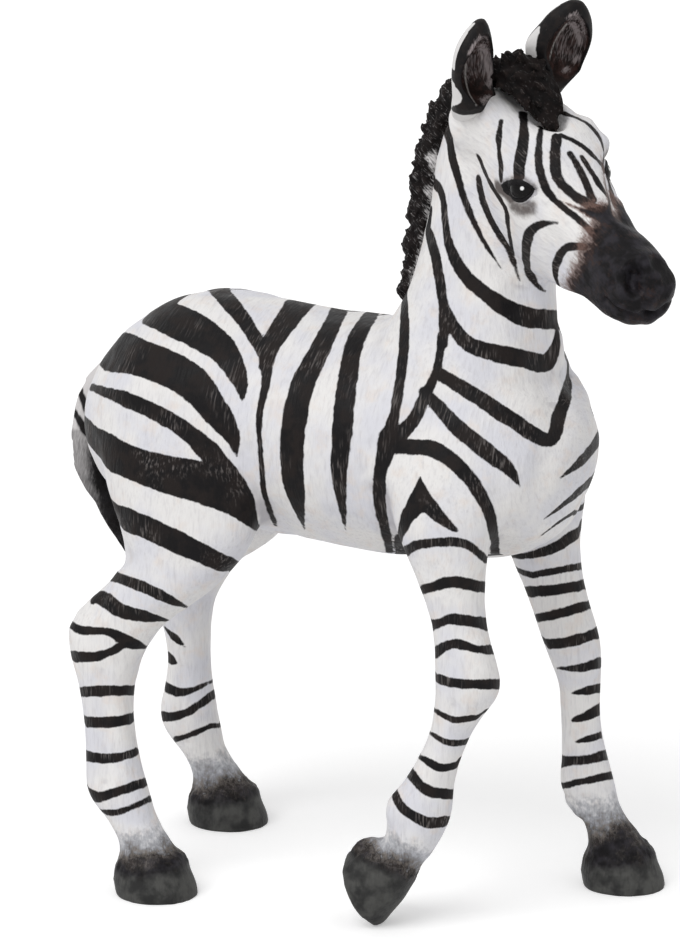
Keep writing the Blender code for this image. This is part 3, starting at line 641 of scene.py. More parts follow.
# bands round each leg, from one outline to the other
LEG_BANDS = {
    "right_foreleg": (
        ((399, 558, 8), (415, 546, 9), (443, 542, 9), (466, 544, 9), (486, 560, 6)),
        ((418, 591, 9), (436, 586, 10), (455, 582, 12), (487, 588, 11)),
        ((428, 627, 10), (442, 622, 9), (455, 619, 11), (491, 625, 11)),
        ((434, 654, 9), (446, 646, 9), (458, 644, 9), (478, 649, 8), (498, 650, 8)),
        ((432, 676, 7), (445, 681, 9), (466, 684, 10), (503, 684, 10)),
        ((433, 709, 3), (445, 716, 6), (458, 720, 7), (488, 715, 6)),
        ((428, 731, 2), (440, 739, 5), (451, 743, 6), (473, 741, 6)),
        ((420, 757, 4), (430, 763, 8), (443, 768, 8), (465, 763, 7)),
        ((408, 768, 8), (417, 782, 10), (432, 792, 11), (456, 794, 9)),
        ((393, 789, 6), (401, 806, 9), (415, 817, 10), (431, 823, 11), (450, 821, 9)),
    ),
    "left_foreleg": (
        ((588, 526, 12), (570, 538, 11), (554, 548, 10), (530, 555, 7), (512, 556, 4)),
        ((585, 565, 7), (560, 570, 7), (532, 575, 7)),
        ((586, 584, 10), (555, 590, 11), (521, 592, 10)),
        ((592, 604, 9), (561, 613, 10), (534, 619, 8)),
        ((602, 631, 10), (569, 642, 11), (538, 644, 8)),
        ((605, 660, 9), (581, 668, 8), (553, 668, 0)),
        ((603, 687, 8), (585, 691, 8), (568, 694, 0)),
        ((601, 708, 10), (587, 716, 10), (573, 720, 4)),
        ((605, 734, 7), (588, 739, 6), (572, 743, 0)),
        ((611, 753, 12), (585, 760, 9), (558, 761, 11)),
        ((616, 774, 8), (584, 781, 7), (557, 787, 7)),
    ),
    "right_hindleg": (
        ((110, 575, 9), (124, 580, 10), (147, 589, 11), (170, 600, 9), (189, 608, 0)),
        ((92, 594, 13), (107, 601, 15), (122, 611, 14), (148, 617, 11), (172, 621, 0)),
        ((67, 622, 5), (81, 630, 9), (98, 631, 7), (112, 633, 9), (130, 643, 12), (149, 648, 0)),
        ((70, 656, 9), (93, 657, 10), (110, 652, 8), (124, 644, 9)),
        ((78, 692, 9), (98, 691, 11), (138, 690, 9)),
        ((83, 722, 10), (110, 722, 11), (139, 717, 10)),
        ((84, 755, 9), (100, 758, 10), (120, 757, 9), (143, 749, 7)),
        ((85, 790, 12), (98, 797, 11), (122, 790, 9), (151, 780, 10)),
        ((97, 809, 3), (110, 813, 6), (130, 808, 6), (153, 797, 5)),
    ),
    "left_hindleg": (
        ((165, 628, 3), (175, 638, 7), (187, 648, 0)),
        ((166, 655, 8), (171, 659, 9), (178, 664, 0)),
        ((160, 684, 8), (178, 692, 9), (192, 690, 6), (208, 683, 3)),
        ((157, 714, 9), (170, 717, 9), (188, 712, 8), (203, 702, 8), (216, 692, 8)),
        ((164, 742, 4), (180, 738, 5), (197, 732, 5), (210, 726, 5)),
    ),
}
# bands that are closed round the back of the leg
HIND_CLOSED = {
    "right_foreleg": range(0, 10), "left_foreleg": (0, 1, 2, 3, 4, 9, 10),
    "right_hindleg": (4, 5, 6, 7), "left_hindleg": (2, 3, 4),
}
# bands of the right hock that the left one carries too
OUTER_BANDS = 4


def recorded(mesh, name, values):
    """A value or vector at each point of a mesh, which its paint reads."""
    kind, field = ("FLOAT", "value") if values.ndim == 1 else ("FLOAT_VECTOR", "vector")
    attribute = mesh.attributes.new(name, kind, "POINT")
    attribute.data.foreach_set(field, np.ascontiguousarray(values, np.float32).ravel())


def cast(rows, tree=None):
    """Points and half widths on the skin or another surface, from rows of x, y and width in pixels."""
    rows = flowing(rows)
    last = len(rows) - 1
    points = []
    halves = []
    for i, (x, y, width) in enumerate(rows):
        run_x, run_y = rows[min(i + 1, last)][:2] - rows[max(i - 1, 0)][:2]
        scale = max(width, 0) / 2 / max(math.hypot(run_x, run_y), 1e-6)
        plain = max(width, 0) / 2 * PIXEL
        one = seen(x - run_y * scale, y + run_x * scale, tree)
        other = seen(x + run_y * scale, y - run_x * scale, tree)
        points.append(seen(x, y, tree))
        halves.append(min(max((one - other).length / 2, plain), plain * MOST_SPREAD))
    return np.array(points), np.array(halves)


def mirrored(mark, place=MIRROR_PLACE, across=SIDEWAYS, tree=None):
    """The same mark on the other side, left out where the camera would see it."""
    tree = tree or skin_tree
    points = []
    halves = []
    for point, half in zip(*mark):
        offset = (Vector(point) - place).dot(across)
        point, normal, _, _ = tree.find_nearest(Vector(point) - across * (2 * offset))
        sight = point - VIEW_PLACE
        first = tree.ray_cast(VIEW_PLACE, sight.normalized())[0]
        if first and (first - point).length < SAME_PLACE:
            half = half * min(max(EDGE_SHARE + EDGE_FADE * normal.dot(sight.normalized()), 0), 1)
        points.append(point)
        halves.append(half)
    return np.array(points), np.array(halves)


def joined(mark, twin, end, toward, steps=12):
    """A stroke between one end of a mark and the same end of its twin, pressed on from outside."""
    points = []
    for t in np.linspace(0, 1, steps):
        middle = Vector(mark[0][end]) * (1 - t) + Vector(twin[0][end]) * t
        found = skin_tree.ray_cast(middle - Vector(toward) * OUTSIDE_TRUNK, Vector(toward))[0]
        points.append(found or middle)
    return np.array(points), np.linspace(mark[1][end], twin[1][end], steps)


def rounded(mark, steps=16):
    """The hidden half of a band, round the back of a leg from one end of the mark to the other."""
    start, end = Vector(mark[0][0]), Vector(mark[0][-1])
    ring = skin_places[np.all(np.abs(skin_places - mark[0].mean(0)) < LEG_ZONE, axis=1)]
    axis = Vector((ring.min(0) + ring.max(0)) / 2)
    first = math.atan2(start.y - axis.y, start.x - axis.x)
    turn_by = (math.atan2(end.y - axis.y, end.x - axis.x) - first) % math.tau
    if (math.atan2(view_back.y, view_back.x) - first) % math.tau < turn_by:
        turn_by -= math.tau
    points = []
    for t in np.linspace(0, 1, steps):
        angle = first + turn_by * t
        out = Vector((math.cos(angle), math.sin(angle), 0))
        middle = Vector((axis.x, axis.y, start.z * (1 - t) + end.z * t))
        found = skin_tree.ray_cast(middle + out * OUTSIDE_LEG, -out)[0]
        points.append(found or middle)
    return np.array(points), np.linspace(mark[1][0], mark[1][-1], steps)


trunk_marks = [cast(stripe) for stripe in RUMP_STRIPES + BARREL_STRIPES + SHOULDER_STRIPES]
twins = [mirrored(mark) for mark in trunk_marks]
neck_marks = [cast(stripe) for stripe in NECK_STRIPES]
neck_twins = [mirrored(mark, NECK_MIRROR) for mark in neck_marks]
chest_marks = [cast(stripe) for stripe in CHEST_STRIPES]
links = [joined(trunk_marks[i], twins[i], 0, toward) for i, toward in LINKS]
links.append(joined(neck_marks[THROAT_STRIPE], neck_twins[THROAT_STRIPE], -1, (-1, 0, 0)))
# the stripes of forehead and nose lie on the modelled face, those of the cheek run on over the neck
brow_marks = [cast(stripe, face_tree) for stripe in FACE_STRIPES[:FOREHEAD_STRIPES]]
cheek_marks = [cast(stripe) for stripe in FACE_STRIPES[FOREHEAD_STRIPES:]]
face_marks = brow_marks + cheek_marks
face_marks += [mirrored(mark, POLL, HEAD_LEFT, face_tree) for mark in brow_marks]
face_marks += [mirrored(mark, POLL, HEAD_LEFT) for mark in cheek_marks]
leg_marks = {casting: [cast(band) for band in bands] for casting, bands in LEG_BANDS.items()}
outer_marks = [mirrored(mark) for mark in leg_marks["right_hindleg"][:OUTER_BANDS]]
for casting, marks in leg_marks.items():
    marks += [rounded(marks[i]) for i in HIND_CLOSED[casting]]
leg_marks["left_hindleg"] += outer_marks

body_marks = trunk_marks + twins + links + neck_marks + neck_twins + chest_marks
coat_marks = {casting: body_marks + leg_marks.get(casting, []) for casting in CASTINGS}
coat_marks["torso"] = body_marks + [mark for marks in leg_marks.values() for mark in marks]
coat_marks["head"] = neck_marks + neck_twins + face_marks
coat_marks["neck"] = body_marks + face_marks
for casting, obj in castings.items():
    points = places_of(obj.data)
    stripe = np.full(len(points), STRIPE_REACH)
    for mark in coat_marks[casting]:
        stripe = np.minimum(stripe, distance(points, mark, STRIPE_REACH))
    recorded(obj.data, "stripe", stripe / MM)


# Legs: hooves
# Each hoof is moulded at the end of its leg. It flares out below a ridge of hair, the coronet,
# and has a bulb at the heel and a hollow above it. The lifted hoof only gets its coronet.

# height, then how far the back and the front of a standing foot are pushed forward, in mm
FOOT_FORM = (
    (0, -0.05, 0.50), (1.3, -0.10, 0.58), (2.2, 0.25, 0.66), (3.0, 0.40, 0.74), (3.8, 0.38, 0.66),
    (4.6, 0.32, 0.40),
    (5.6, 0.15, 0.08), (7.0, 0.05, 0), (9.0, 0, 0),
)
SOLE_ZONE = 0.5 * MM
CORONET_HEIGHT = 3.15 * MM
CORONET_SLOPE = 0.15
CORONET_RIDGE = 0.14 * MM
CORONET_REACH = 0.7 * MM
LIFTED = "right_foreleg"
LIFTED_CORONET = (395, 866)
LIFTED_RUN = (0.42, 0.907)
LIFTED_RIDGE = 0.10 * MM
FRINGE_DEPTH = 0.16 * MM
FRINGE_PLACE = 0.3 * MM
FRINGE_REACH = 0.9 * MM
# hairs of the fringe in a mm, which run down the leg
FRINGE_GRAIN = Vector((2.6, 2.6, 0.9)) / MM


def bell(values, middle, reach):
    return np.exp(-((values - middle) / reach) ** 2)


above_hoof = {}
for casting in ("left_foreleg", "right_hindleg", "left_hindleg", LIFTED):
    mesh = castings[casting].data
    points = places_of(mesh)
    if casting == LIFTED:
        above = (points - seen(*LIFTED_CORONET)) @ (view_right * LIFTED_RUN[0] + view_up * LIFTED_RUN[1])
    else:
        sole = points[points[:, 2] < SOLE_ZONE]
        middle = (sole.min(0) + sole.max(0)) / 2
        half = (sole.max(0) - sole.min(0)) / 2
        heights, backs, fronts = np.array(FOOT_FORM).T * MM
        back = np.interp(points[:, 2], heights, backs)
        front = np.interp(points[:, 2], heights, fronts)
        ahead = eased(points[:, 0], middle[0] - half[0], middle[0] + half[0])
        above = points[:, 2] - CORONET_HEIGHT - CORONET_SLOPE * (points[:, 0] - middle[0])
        points[:, 0] += back + (front - back) * ahead
        points[:, 1] += (points[:, 1] - middle[1]) * (front - back) / 2 / half[1]
        placed(mesh, points)
    ridge = bell(above, -0.5 * CORONET_REACH, CORONET_REACH)
    groove = bell(above, 1.5 * CORONET_REACH, CORONET_REACH)
    fringe = np.array([noise.noise(Vector(point * FRINGE_GRAIN)) for point in points])
    fringe *= bell(above, FRINGE_PLACE, FRINGE_REACH) * FRINGE_DEPTH
    bulge = LIFTED_RIDGE if casting == LIFTED else CORONET_RIDGE
    placed(mesh, points + normals_of(mesh) * (bulge * (ridge - 0.8 * groove) + fringe)[:, None])
    above_hoof[casting] = above


# Body castings: brushed shades
# Muzzle, pasterns and hooves are brushed over with brown and black paint, which fades into the white.
# The paint lies in streaks along the animal's coat, and a painted grey shade darkens its hollows.

# the edge of the dark muzzle in pixels, and how much sooner the far side of the nose darkens
MUZZLE_EDGE = ((617, 198), (609, 210), (602, 225), (592, 246), (584, 268), (582, 292))
MUZZLE_FADE = (-2.3 * MM, 0.9 * MM)
FAR_SOOT = 1.9
FAR_START = 0.7 * MM
FAR_BREADTH = 1.9 * MM
LINER_FADE = (0.42 * MM, 0.10 * MM)
# brown round the eyes: a line along the upper lid, and painted shade at the rear corner and below the eye;
# reach in mm, strength and pixels
EYE_PAINT_AND_SHADES = (
    (0.7, 0.6, ((504, 183), (514, 179.5), (526, 181), (535, 188))),
    (1.1, 1.0, ((499, 187), (505, 191), (510, 197))),
    (1.2, 0.7, ((513, 206), (523, 210), (532, 207))),
)
# how far above the hoof the pastern is black, and how far up it turns white, in mm
PASTERNS = {
    "left_foreleg": (0.0, 7.0), "right_hindleg": (-0.8, 4.1), "left_hindleg": (-1.4, 5.2),
    "right_foreleg": (-1.3, 3.6),
}
HOOF_FADE = (0.4 * MM, -1.9 * MM)
# the hair of the trunk lies round its axis above the second height, and hangs down below the first
TRUNK_HEIGHT = 42 * MM
TRUNK_GIRTH = 13 * MM
NAP_CHANGE = (30 * MM, 38 * MM)
WHITE_PAINT = (0.80, 0.785, 0.775)
COOL_WHITE = (0.70, 0.70, 0.745)
WARM_WHITE = (0.76, 0.685, 0.635)
# grey of the hair streaks, also laid into the hollows as painted shade
GRAIN_AND_SHADE_GREY = (0.42, 0.405, 0.43)
BLACK_PAINT = (0.0065, 0.0058, 0.0064)
BROWN_BLACK = (0.015, 0.0115, 0.0108)
DRY_BRUSHED = (0.15, 0.135, 0.13)
MUZZLE_RUST = (0.17, 0.105, 0.088)
MUZZLE_BROWN = (0.036, 0.021, 0.018)
SOOT_BLACK = (0.0050, 0.0044, 0.0052)
SOOT_GREY = (0.024, 0.022, 0.027)
EYE_PAINT_AND_SHADE_BROWN = (0.050, 0.034, 0.029)
PASTERN_GREY = (0.32, 0.33, 0.36)
PASTERN_BROWN = (0.034, 0.028, 0.025)
PASTERN_SPECK = (0.17, 0.15, 0.135)
HOOF_GREY = (0.080, 0.080, 0.076)
HOOF_DARK = (0.026, 0.026, 0.026)
COAT_SHEEN = 0.11


def hollows(mesh, rounds=3):
    """How deep each point lies under the points round it, in mm; ridges are negative."""
    edges = np.empty(len(mesh.edges) * 2, np.int32)
    mesh.edges.foreach_get("vertices", edges)
    starts, ends = edges.reshape(-1, 2).T
    points = places_of(mesh)
    size = len(points)
    counts = np.maximum(np.bincount(edges, minlength=size), 1)
    even = points.T
    for _ in range(rounds):
        totals = [np.bincount(starts, row[ends], size) + np.bincount(ends, row[starts], size) for row in even]
        even = np.array(totals) / counts
    return np.einsum("ij,ij->i", even.T - points, normals_of(mesh)) / MM


def material_with(name):
    material = bpy.data.materials.new(name)
    material.use_nodes = True
    return material, material.node_tree, material.node_tree.nodes["Principled BSDF"]


def wired(tree, target, **inputs):
    """Inputs of a node, linked or set by name, or by number where names are alike."""
    for name, value in inputs.items():
        socket = target.inputs[int(name[1:])] if name[0] == "_" else target.inputs[name.replace("_", " ")]
        if isinstance(value, bpy.types.NodeSocket):
            tree.links.new(value, socket)
        else:
            socket.default_value = value


def node(tree, kind, settings=None, **inputs):
    """The outputs of a new node."""
    new = tree.nodes.new(kind)
    for setting, value in (settings or {}).items():
        setattr(new, setting, value)
    wired(tree, new, **inputs)
    return new.outputs


def value_of(tree, name, output="Fac"):
    return node(tree, "ShaderNodeAttribute", {"attribute_name": name})[output]


def speckles(tree, place, scale, detail, roughness=0.5):
    mapped = node(tree, "ShaderNodeMapping", Vector=place, Scale=scale)["Vector"]
    return node(tree, "ShaderNodeTexNoise", Vector=mapped, Scale=1, Detail=detail, Roughness=roughness)["Fac"]


def blotches(tree, size, detail=3):
    """Noise on the object's own coordinates, whose grains have the given size."""
    place = node(tree, "ShaderNodeTexCoord")["Object"]
    return speckles(tree, place, (1 / size, 1 / size, 1 / size), detail, 0.55)


def hairs(tree, width, detail=3, run=6):
    """Noise drawn out along the hair, on the coordinates that the mesh keeps in mm."""
    return speckles(tree, value_of(tree, "nap", "Vector"), (1 / (width * run), 1 / width, 1 / width), detail)


def ramped(tree, value, start, end, low=0.0, high=1.0):
    eases = {"interpolation_type": "SMOOTHSTEP"}
    span = {"From_Min": start, "From_Max": end, "To_Min": low, "To_Max": high}
    return node(tree, "ShaderNodeMapRange", eases, Value=value, **span)["Result"]


def reckoned(tree, operation, first, second):
    return node(tree, "ShaderNodeMath", {"operation": operation}, _0=first, _1=second)["Value"]


def plus(tree, first, second):
    return reckoned(tree, "ADD", first, second)


def times(tree, first, second):
    return reckoned(tree, "MULTIPLY", first, second)


def swing(tree, value, share):
    """A noise that swings about zero by a share."""
    return times(tree, reckoned(tree, "SUBTRACT", value, 0.5), share)


def blended(tree, share, low, high):
    """A colour between two, each a colour or a socket."""
    low = (*low, 1) if isinstance(low, tuple) else low
    high = (*high, 1) if isinstance(high, tuple) else high
    return node(tree, "ShaderNodeMix", {"data_type": "RGBA"}, Factor=share, A=low, B=high)["Result"]


def over(tree, under, tint, value, start, end, most=1.0):
    """A colour brushed over with a tint, more and more as the value runs from start to end."""
    return blended(tree, ramped(tree, value, start, end, 0, most), under, tint)


def embossed(tree, shader, *layers):
    """Bump layers of value, strength and depth, one over the other."""
    under = {}
    for value, strength, depth in layers:
        bump = node(tree, "ShaderNodeBump", Height=value, Strength=strength, Distance=depth, **under)
        under = {"Normal": bump["Normal"]}
    wired(tree, shader, **under)


def coated(mesh, material):
    mesh.materials.clear()
    mesh.materials.append(material)
    mesh.shade_smooth()


muzzle = np.array([seen(*pixel) for pixel in MUZZLE_EDGE]) - POLL
muzzle_rise, muzzle_along = np.array(sorted(zip(muzzle @ BROW_UP, muzzle @ NOSEWARD))).T
for casting, obj in castings.items():
    points = places_of(obj.data)
    soot, eye_paint_and_shade, liner_and_pit_shade, hoof = np.zeros((4, len(points)))
    x, y, z = points.T
    aside = np.abs(y - MIRROR_PLACE.y)
    nap = np.stack((z, x, aside), axis=1)
    if casting == "torso":
        rise = z - TRUNK_HEIGHT
        run = TRUNK_HEIGHT + (math.pi / 2 - np.arctan2(aside, rise)) * TRUNK_GIRTH
        high = eased(z, *NAP_CHANGE)[:, None]
        nap = nap * (1 - high) + np.stack((run, x, np.hypot(aside, rise)), axis=1) * high
    if casting == "head":
        nap = (points - POLL) @ np.array((NOSEWARD, HEAD_LEFT, BROW_UP)).T
        along, left, rise = nap.T
        edge = np.interp(rise, muzzle_rise, muzzle_along)
        edge -= FAR_SOOT * np.clip(left - FAR_START, 0, FAR_BREADTH)
        soot = eased(along - edge, *MUZZLE_FADE)
        liner_and_pit_shade = eased(lid_gap, *LINER_FADE)
        # the nostril pits are painted black inside, a painted shade
        for path in both_cheeks(traced(NOSTRIL)):
            liner_and_pit_shade = np.maximum(liner_and_pit_shade, closeness(points, path, NOSTRIL_REACH))
        # brown round each eye: a lid line, and painted shade at the rear corner and below the eye
        for reach, strength, rows in EYE_PAINT_AND_SHADES:
            for path in both_cheeks(traced(rows)):
                eye_paint_and_shade = np.maximum(eye_paint_and_shade, strength * closeness(points, path, reach * MM))
    if casting in PASTERNS:
        dark, white = PASTERNS[casting]
        soot = eased(above_hoof[casting], white * MM, dark * MM)
        hoof = eased(above_hoof[casting], *HOOF_FADE)
    recorded(obj.data, "soot", soot)
    recorded(obj.data, "eye_paint_and_shade", eye_paint_and_shade)
    recorded(obj.data, "liner_and_pit_shade", liner_and_pit_shade)
    recorded(obj.data, "hoof", hoof)
    recorded(obj.data, "nap", nap / MM)
    recorded(obj.data, "hollow", hollows(obj.data))
    recorded(obj.data, "face", np.full(len(points), float(casting == "head")))

coat, tree, shader = material_with("painted_coat")
streaks = hairs(tree, 0.30, 4)
fine_hairs = hairs(tree, 0.13, 3, 8)
brushed = hairs(tree, 0.19, 3, 10)
clouds = blotches(tree, 5.5 * MM)
patches = blotches(tree, 1.6 * MM)
lumps = blotches(tree, 1.0 * MM, 2)
grain = swing(tree, blotches(tree, 0.38 * MM), 0.6)
face = value_of(tree, "face")
white = over(tree, WHITE_PAINT, COOL_WHITE, clouds, 0.40, 0.66)
white = over(tree, white, WARM_WHITE, patches, 0.50, 0.74, 0.60)
# the white turns grey along the hair streaks, and in the hollows of the skin it is darkened as painted shade
white = over(tree, white, GRAIN_AND_SHADE_GREY, streaks, 0.46, 0.80, 0.30)
white = over(tree, white, GRAIN_AND_SHADE_GREY, fine_hairs, 0.48, 0.76, 0.16)
white = over(tree, white, GRAIN_AND_SHADE_GREY, value_of(tree, "hollow"), 0.003, 0.04, 0.80)
black = over(tree, BLACK_PAINT, BROWN_BLACK, patches, 0.40, 0.62)
dry_brush_and_highlight = times(tree, ramped(tree, brushed, 0.50, 0.72), ramped(tree, clouds, 0.46, 0.62))
black = blended(tree, times(tree, dry_brush_and_highlight, 0.75), black, DRY_BRUSHED)
fray = plus(tree, swing(tree, lumps, 0.30), swing(tree, fine_hairs, 0.12))
colour = over(tree, white, black, plus(tree, value_of(tree, "stripe"), fray), 0.08, -0.07)
# brown round the eyes, partly a lid line and partly painted shade
eye_paint_and_shade = value_of(tree, "eye_paint_and_shade")
eye_paint_and_shade_grain = plus(tree, eye_paint_and_shade, times(tree, grain, ramped(tree, eye_paint_and_shade, 0, 0.3, 0, 0.7)))
colour = over(tree, colour, EYE_PAINT_AND_SHADE_BROWN, eye_paint_and_shade_grain, 0.10, 0.80, 0.90)
sooty = value_of(tree, "soot")
strokes = swing(tree, fine_hairs, ramped(tree, face, 0, 1, 0.25, 0.5))
spots = plus(tree, swing(tree, patches, 0.75), grain)
soot = plus(tree, sooty, times(tree, plus(tree, strokes, spots), ramped(tree, sooty, 0, 0.14)))
speckled = over(tree, PASTERN_BROWN, PASTERN_SPECK, grain, -0.048, 0.06)
colour = over(tree, colour, blended(tree, face, PASTERN_GREY, MUZZLE_RUST), soot, 0.01, 0.46, 0.85)
colour = over(tree, colour, blended(tree, face, speckled, MUZZLE_BROWN), soot, 0.34, 0.74)
colour = over(tree, colour, over(tree, SOOT_BLACK, SOOT_GREY, lumps, 0.36, 0.68), soot, 0.62, 1.0)
# black lid lines round the eye openings, and painted shade in the nostril pits
colour = over(tree, colour, BLACK_PAINT, plus(tree, value_of(tree, "liner_and_pit_shade"), grain), 0.25, 0.60)
horn = over(tree, HOOF_DARK, HOOF_GREY, patches, 0.34, 0.66)
horn = over(tree, horn, HOOF_DARK, streaks, 0.45, 0.75, 0.35)
colour = over(tree, colour, horn, plus(tree, value_of(tree, "hoof"), swing(tree, lumps, 0.9)), 0.15, 0.85)
roughness = ramped(tree, patches, 0.3, 0.7, 0.42, 0.60)
wired(tree, shader, Base_Color=colour, Roughness=roughness, Specular_IOR_Level=COAT_SHEEN)
embossed(tree, shader, (streaks, 0.55, 0.14 * MM), (fine_hairs, 0.35, 0.05 * MM), (patches, 0.25, 0.20 * MM))

for casting, obj in castings.items():
    coated(obj.data, coat)
    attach(obj, "root")
    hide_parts(casting)


# Eyes
# Each eye is a bead of dark varnish, dropped on to the vinyl between the lids and hardened with a gloss.
# One small dot of white paint is set on it as a painted highlight.

EYE_SIDES = 48
EYE_RINGS = 28
EYE_BULGE = 0.03
BULGE_POWER = 6
HIGHLIGHT_RADIUS = 0.17 * MM
# how far the painted highlight lies towards the nose and up
HIGHLIGHT_SHARES = (0.56, 0.34)
PUPIL_BLACK = (0.004, 0.0035, 0.0035)
IRIS_BROWN = (0.020, 0.009, 0.006)
HIGHLIGHT_WHITE = (0.9, 0.9, 0.9)

varnish, tree, shader = material_with("eye_varnish")
iris = over(tree, PUPIL_BLACK, IRIS_BROWN, value_of(tree, "iris"), 0.35, 0.75)
iris = blended(tree, times(tree, blotches(tree, 0.2 * MM), 0.4), iris, PUPIL_BLACK)
# a white dot on the ball, a painted highlight
colour = over(tree, iris, HIGHLIGHT_WHITE, value_of(tree, "painted_highlight"), 0.35, 0.65)
wired(tree, shader, Base_Color=colour, Roughness=0.12, Specular_IOR_Level=0.12)
for name, (centre, out, ahead, up) in eyes.items():
    form = bmesh.new()
    bmesh.ops.create_uvsphere(form, u_segments=EYE_SIDES, v_segments=EYE_RINGS, radius=EYE_RADIUS)
    for vert in form.verts:
        place = vert.co * (1 + EYE_BULGE * max(vert.co.z / EYE_RADIUS, 0) ** BULGE_POWER)
        vert.co = centre + ahead * place.x + up * place.y + out * place.z
    bmesh.ops.recalc_face_normals(form, faces=form.faces)
    ball = linked(name, form)
    offset = places_of(ball.data) - centre
    # the middle of the painted highlight on the ball
    painted_highlight = (out + ahead * HIGHLIGHT_SHARES[0] + up * HIGHLIGHT_SHARES[1]).normalized() * EYE_RADIUS
    recorded(ball.data, "iris", 1 - offset @ out / EYE_RADIUS)
    recorded(ball.data, "painted_highlight", 1 - np.linalg.norm(offset - painted_highlight, axis=1) / (2 * HIGHLIGHT_RADIUS))
    coated(ball.data, varnish)
    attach(ball, "root")


# Ears
# Each ear is a cupped leaf of vinyl with a thick rim, glued by its root into the skull.
# Its rim is black, its back is banded black and white, and fine grey hairs are brushed into the cup.

EAR_WIDTH = 4.4 * MM
EAR_DEPTH = 3.0 * MM
HEAD_LENGTH = 23.5 * MM
HEAD_DEPTH = 13.0 * MM
HEAD_WIDTH = 10.0 * MM
EAR_SLANT = 0.10
EAR_SIDES = 96
# the root's place along, aside and above on the head; how far the ear leans and its mouth turns outwards;
# the side of the head; how much wider the foot and the upper half are than the outline; how far in mm
# the tip leans to the viewer's right, the heel to the middle and the root away from the viewer;
# the length in mm; where the white of the root ends; and the cup's edges as shares of the half width
EARS = {
    "right_ear": SimpleNamespace(
        along=0.010, aside=0.420, above=0.060, lean=0.00, outward=-0.35, hand=-1, foot=0.20, breadth=0.0,
        tip=0.95, heel=0.5, sunk=2.8, length=7.38, pale=0.0, edges=(0.94, -0.90),
    ),
    "left_ear": SimpleNamespace(
        along=0.020, aside=0.380, above=0.060, lean=0.22, outward=-0.30, hand=1, foot=-0.16, breadth=0.13,
        tip=0.42, heel=1.8, sunk=0.0, length=7.32, pale=-0.055, edges=(0.60, -0.88),
    ),
}
# along the ear, half width and half thickness, as shares
EAR_OUTLINE = (
    (-0.34, 0.34, 0.36), (-0.20, 0.41, 0.43), (-0.06, 0.44, 0.45), (0.06, 0.455, 0.46), (0.18, 0.475, 0.47),
    (0.38, 0.495, 0.49), (0.58, 0.485, 0.44), (0.74, 0.415, 0.38), (0.86, 0.30, 0.29), (0.93, 0.195, 0.20),
    (0.97, 0.11, 0.12), (0.98, 0.03, 0.03),
)
# places along the ear, as shares of its length, between which something grows or fades
CUP_OPENS = ((-0.06, 0.10), (0.88, 0.80))
BACK_FLARES = ((0.0, 0.25), (0.72, 0.36))
UPPER_BAND = ((0.46, 0.52), (0.92, 0.88))
LOWER_BAND = ((0.04, 0.08), (0.35, 0.31))
FOOT_WIDENS = (0.16, -0.10)
HALF_WIDENS = (0.15, 0.55)
HEEL_BENDS = (0.14, 0.48)
ROOT_SINKS = (0.02, 0.20)
TIP_BENDS = (0.40, 1.5)
PALE_FADE = 0.09
CUP_FOOT = -0.07
CUP_MIDDLE = 0.42
CUP_TOP = 0.86
CUP_DIP = 1.15
CUP_SHIFT = 0.16
CUP_SHIFTS = (0.36, 0.0)
CUP_RIM = 0.08
BACK_FLARE = 0.45
# how far round the ear its white bands begin and are full, as angles from the mouth
WHITE_TURN = (1.62, 1.80)
# the fine hairs of the cup: dense beside its middle, and again towards its top
DOWN_SIDE = (0.45, 0.0)
DOWN_STARTS = (0.05, 0.30)
DOWN_TOP = (0.64, 0.78)
DOWN_SHARES = (0.45, 0.6)
# paint seen in the photograph, as rows of x, y and width in pixels; the line is a painted highlight along the
# inner rim
EAR_STROKES = {
    "right_ear": {
        "white": (
            ((473, 24, 3), (468, 28, 7), (463, 34, 9), (457, 43, 13), (453, 54, 13), (453, 63, 5)),
            ((446, 78, 5), (447, 86, 11), (450, 94, 15), (452, 99, 15)),
        ),
        "line": (((466, 64, 1.6), (465.5, 78, 1.6), (469, 93, 1.8), (476.5, 105, 1.4)),),
        "down": (
            ((481, 38, 5), (476, 44, 5), (470, 53, 5)), ((482, 46, 10), (486, 60, 11), (490, 76, 8),
             (489, 83, 8)),
            ((483, 101, 9), (489, 97, 7)),
        ),
    },
    "left_ear": {
        "white": (((539, 27, 2), (533, 37, 9), (529, 47, 14), (530, 54, 14)),),
        "line": (((549.5, 60, 1.6), (553, 46, 1.8), (559, 34, 1.8), (566.5, 24, 2)),),
        "down": (
            ((567, 18, 3), (575, 15, 5), (582, 22, 5), (584, 34, 4)), ((573, 24, 9), (578, 34, 9),
             (580, 43, 7)),
            ((574, 60, 7), (578, 57.5, 7)), ((564, 71, 6), (568, 69, 6)),
        ),
    },
}
STROKE_REACH = 0.5 * MM
STROKE_STRENGTH = {"white": 1.0, "line": 1.0, "down": 0.85}
EAR_WHITE = (0.72, 0.705, 0.70)
CUP_DARK = (0.012, 0.007, 0.006)
CUP_BROWN = (0.040, 0.020, 0.017)
CUP_HAIR = (0.34, 0.295, 0.295)
# a pale line along the inner rim of the cup, a painted highlight
EAR_RIM_HIGHLIGHT = (0.50, 0.48, 0.46)

ear_paint, tree, shader = material_with("painted_ear")
fuzz = hairs(tree, 0.13, 3, 9)
mottle = blotches(tree, 0.7 * MM)
black = over(tree, BLACK_PAINT, BROWN_BLACK, mottle, 0.4, 0.7)
whitened = plus(tree, value_of(tree, "white"), swing(tree, mottle, 0.5))
colour = over(tree, black, EAR_WHITE, whitened, 0.40, 0.60)
cup = over(tree, CUP_DARK, CUP_BROWN, mottle, 0.42, 0.66)
colour = over(tree, colour, cup, value_of(tree, "cup"), 0.35, 0.6)
downy = plus(tree, value_of(tree, "down"), swing(tree, fuzz, 1.5))
colour = over(tree, colour, CUP_HAIR, downy, 0.25, 1.0, 0.9)
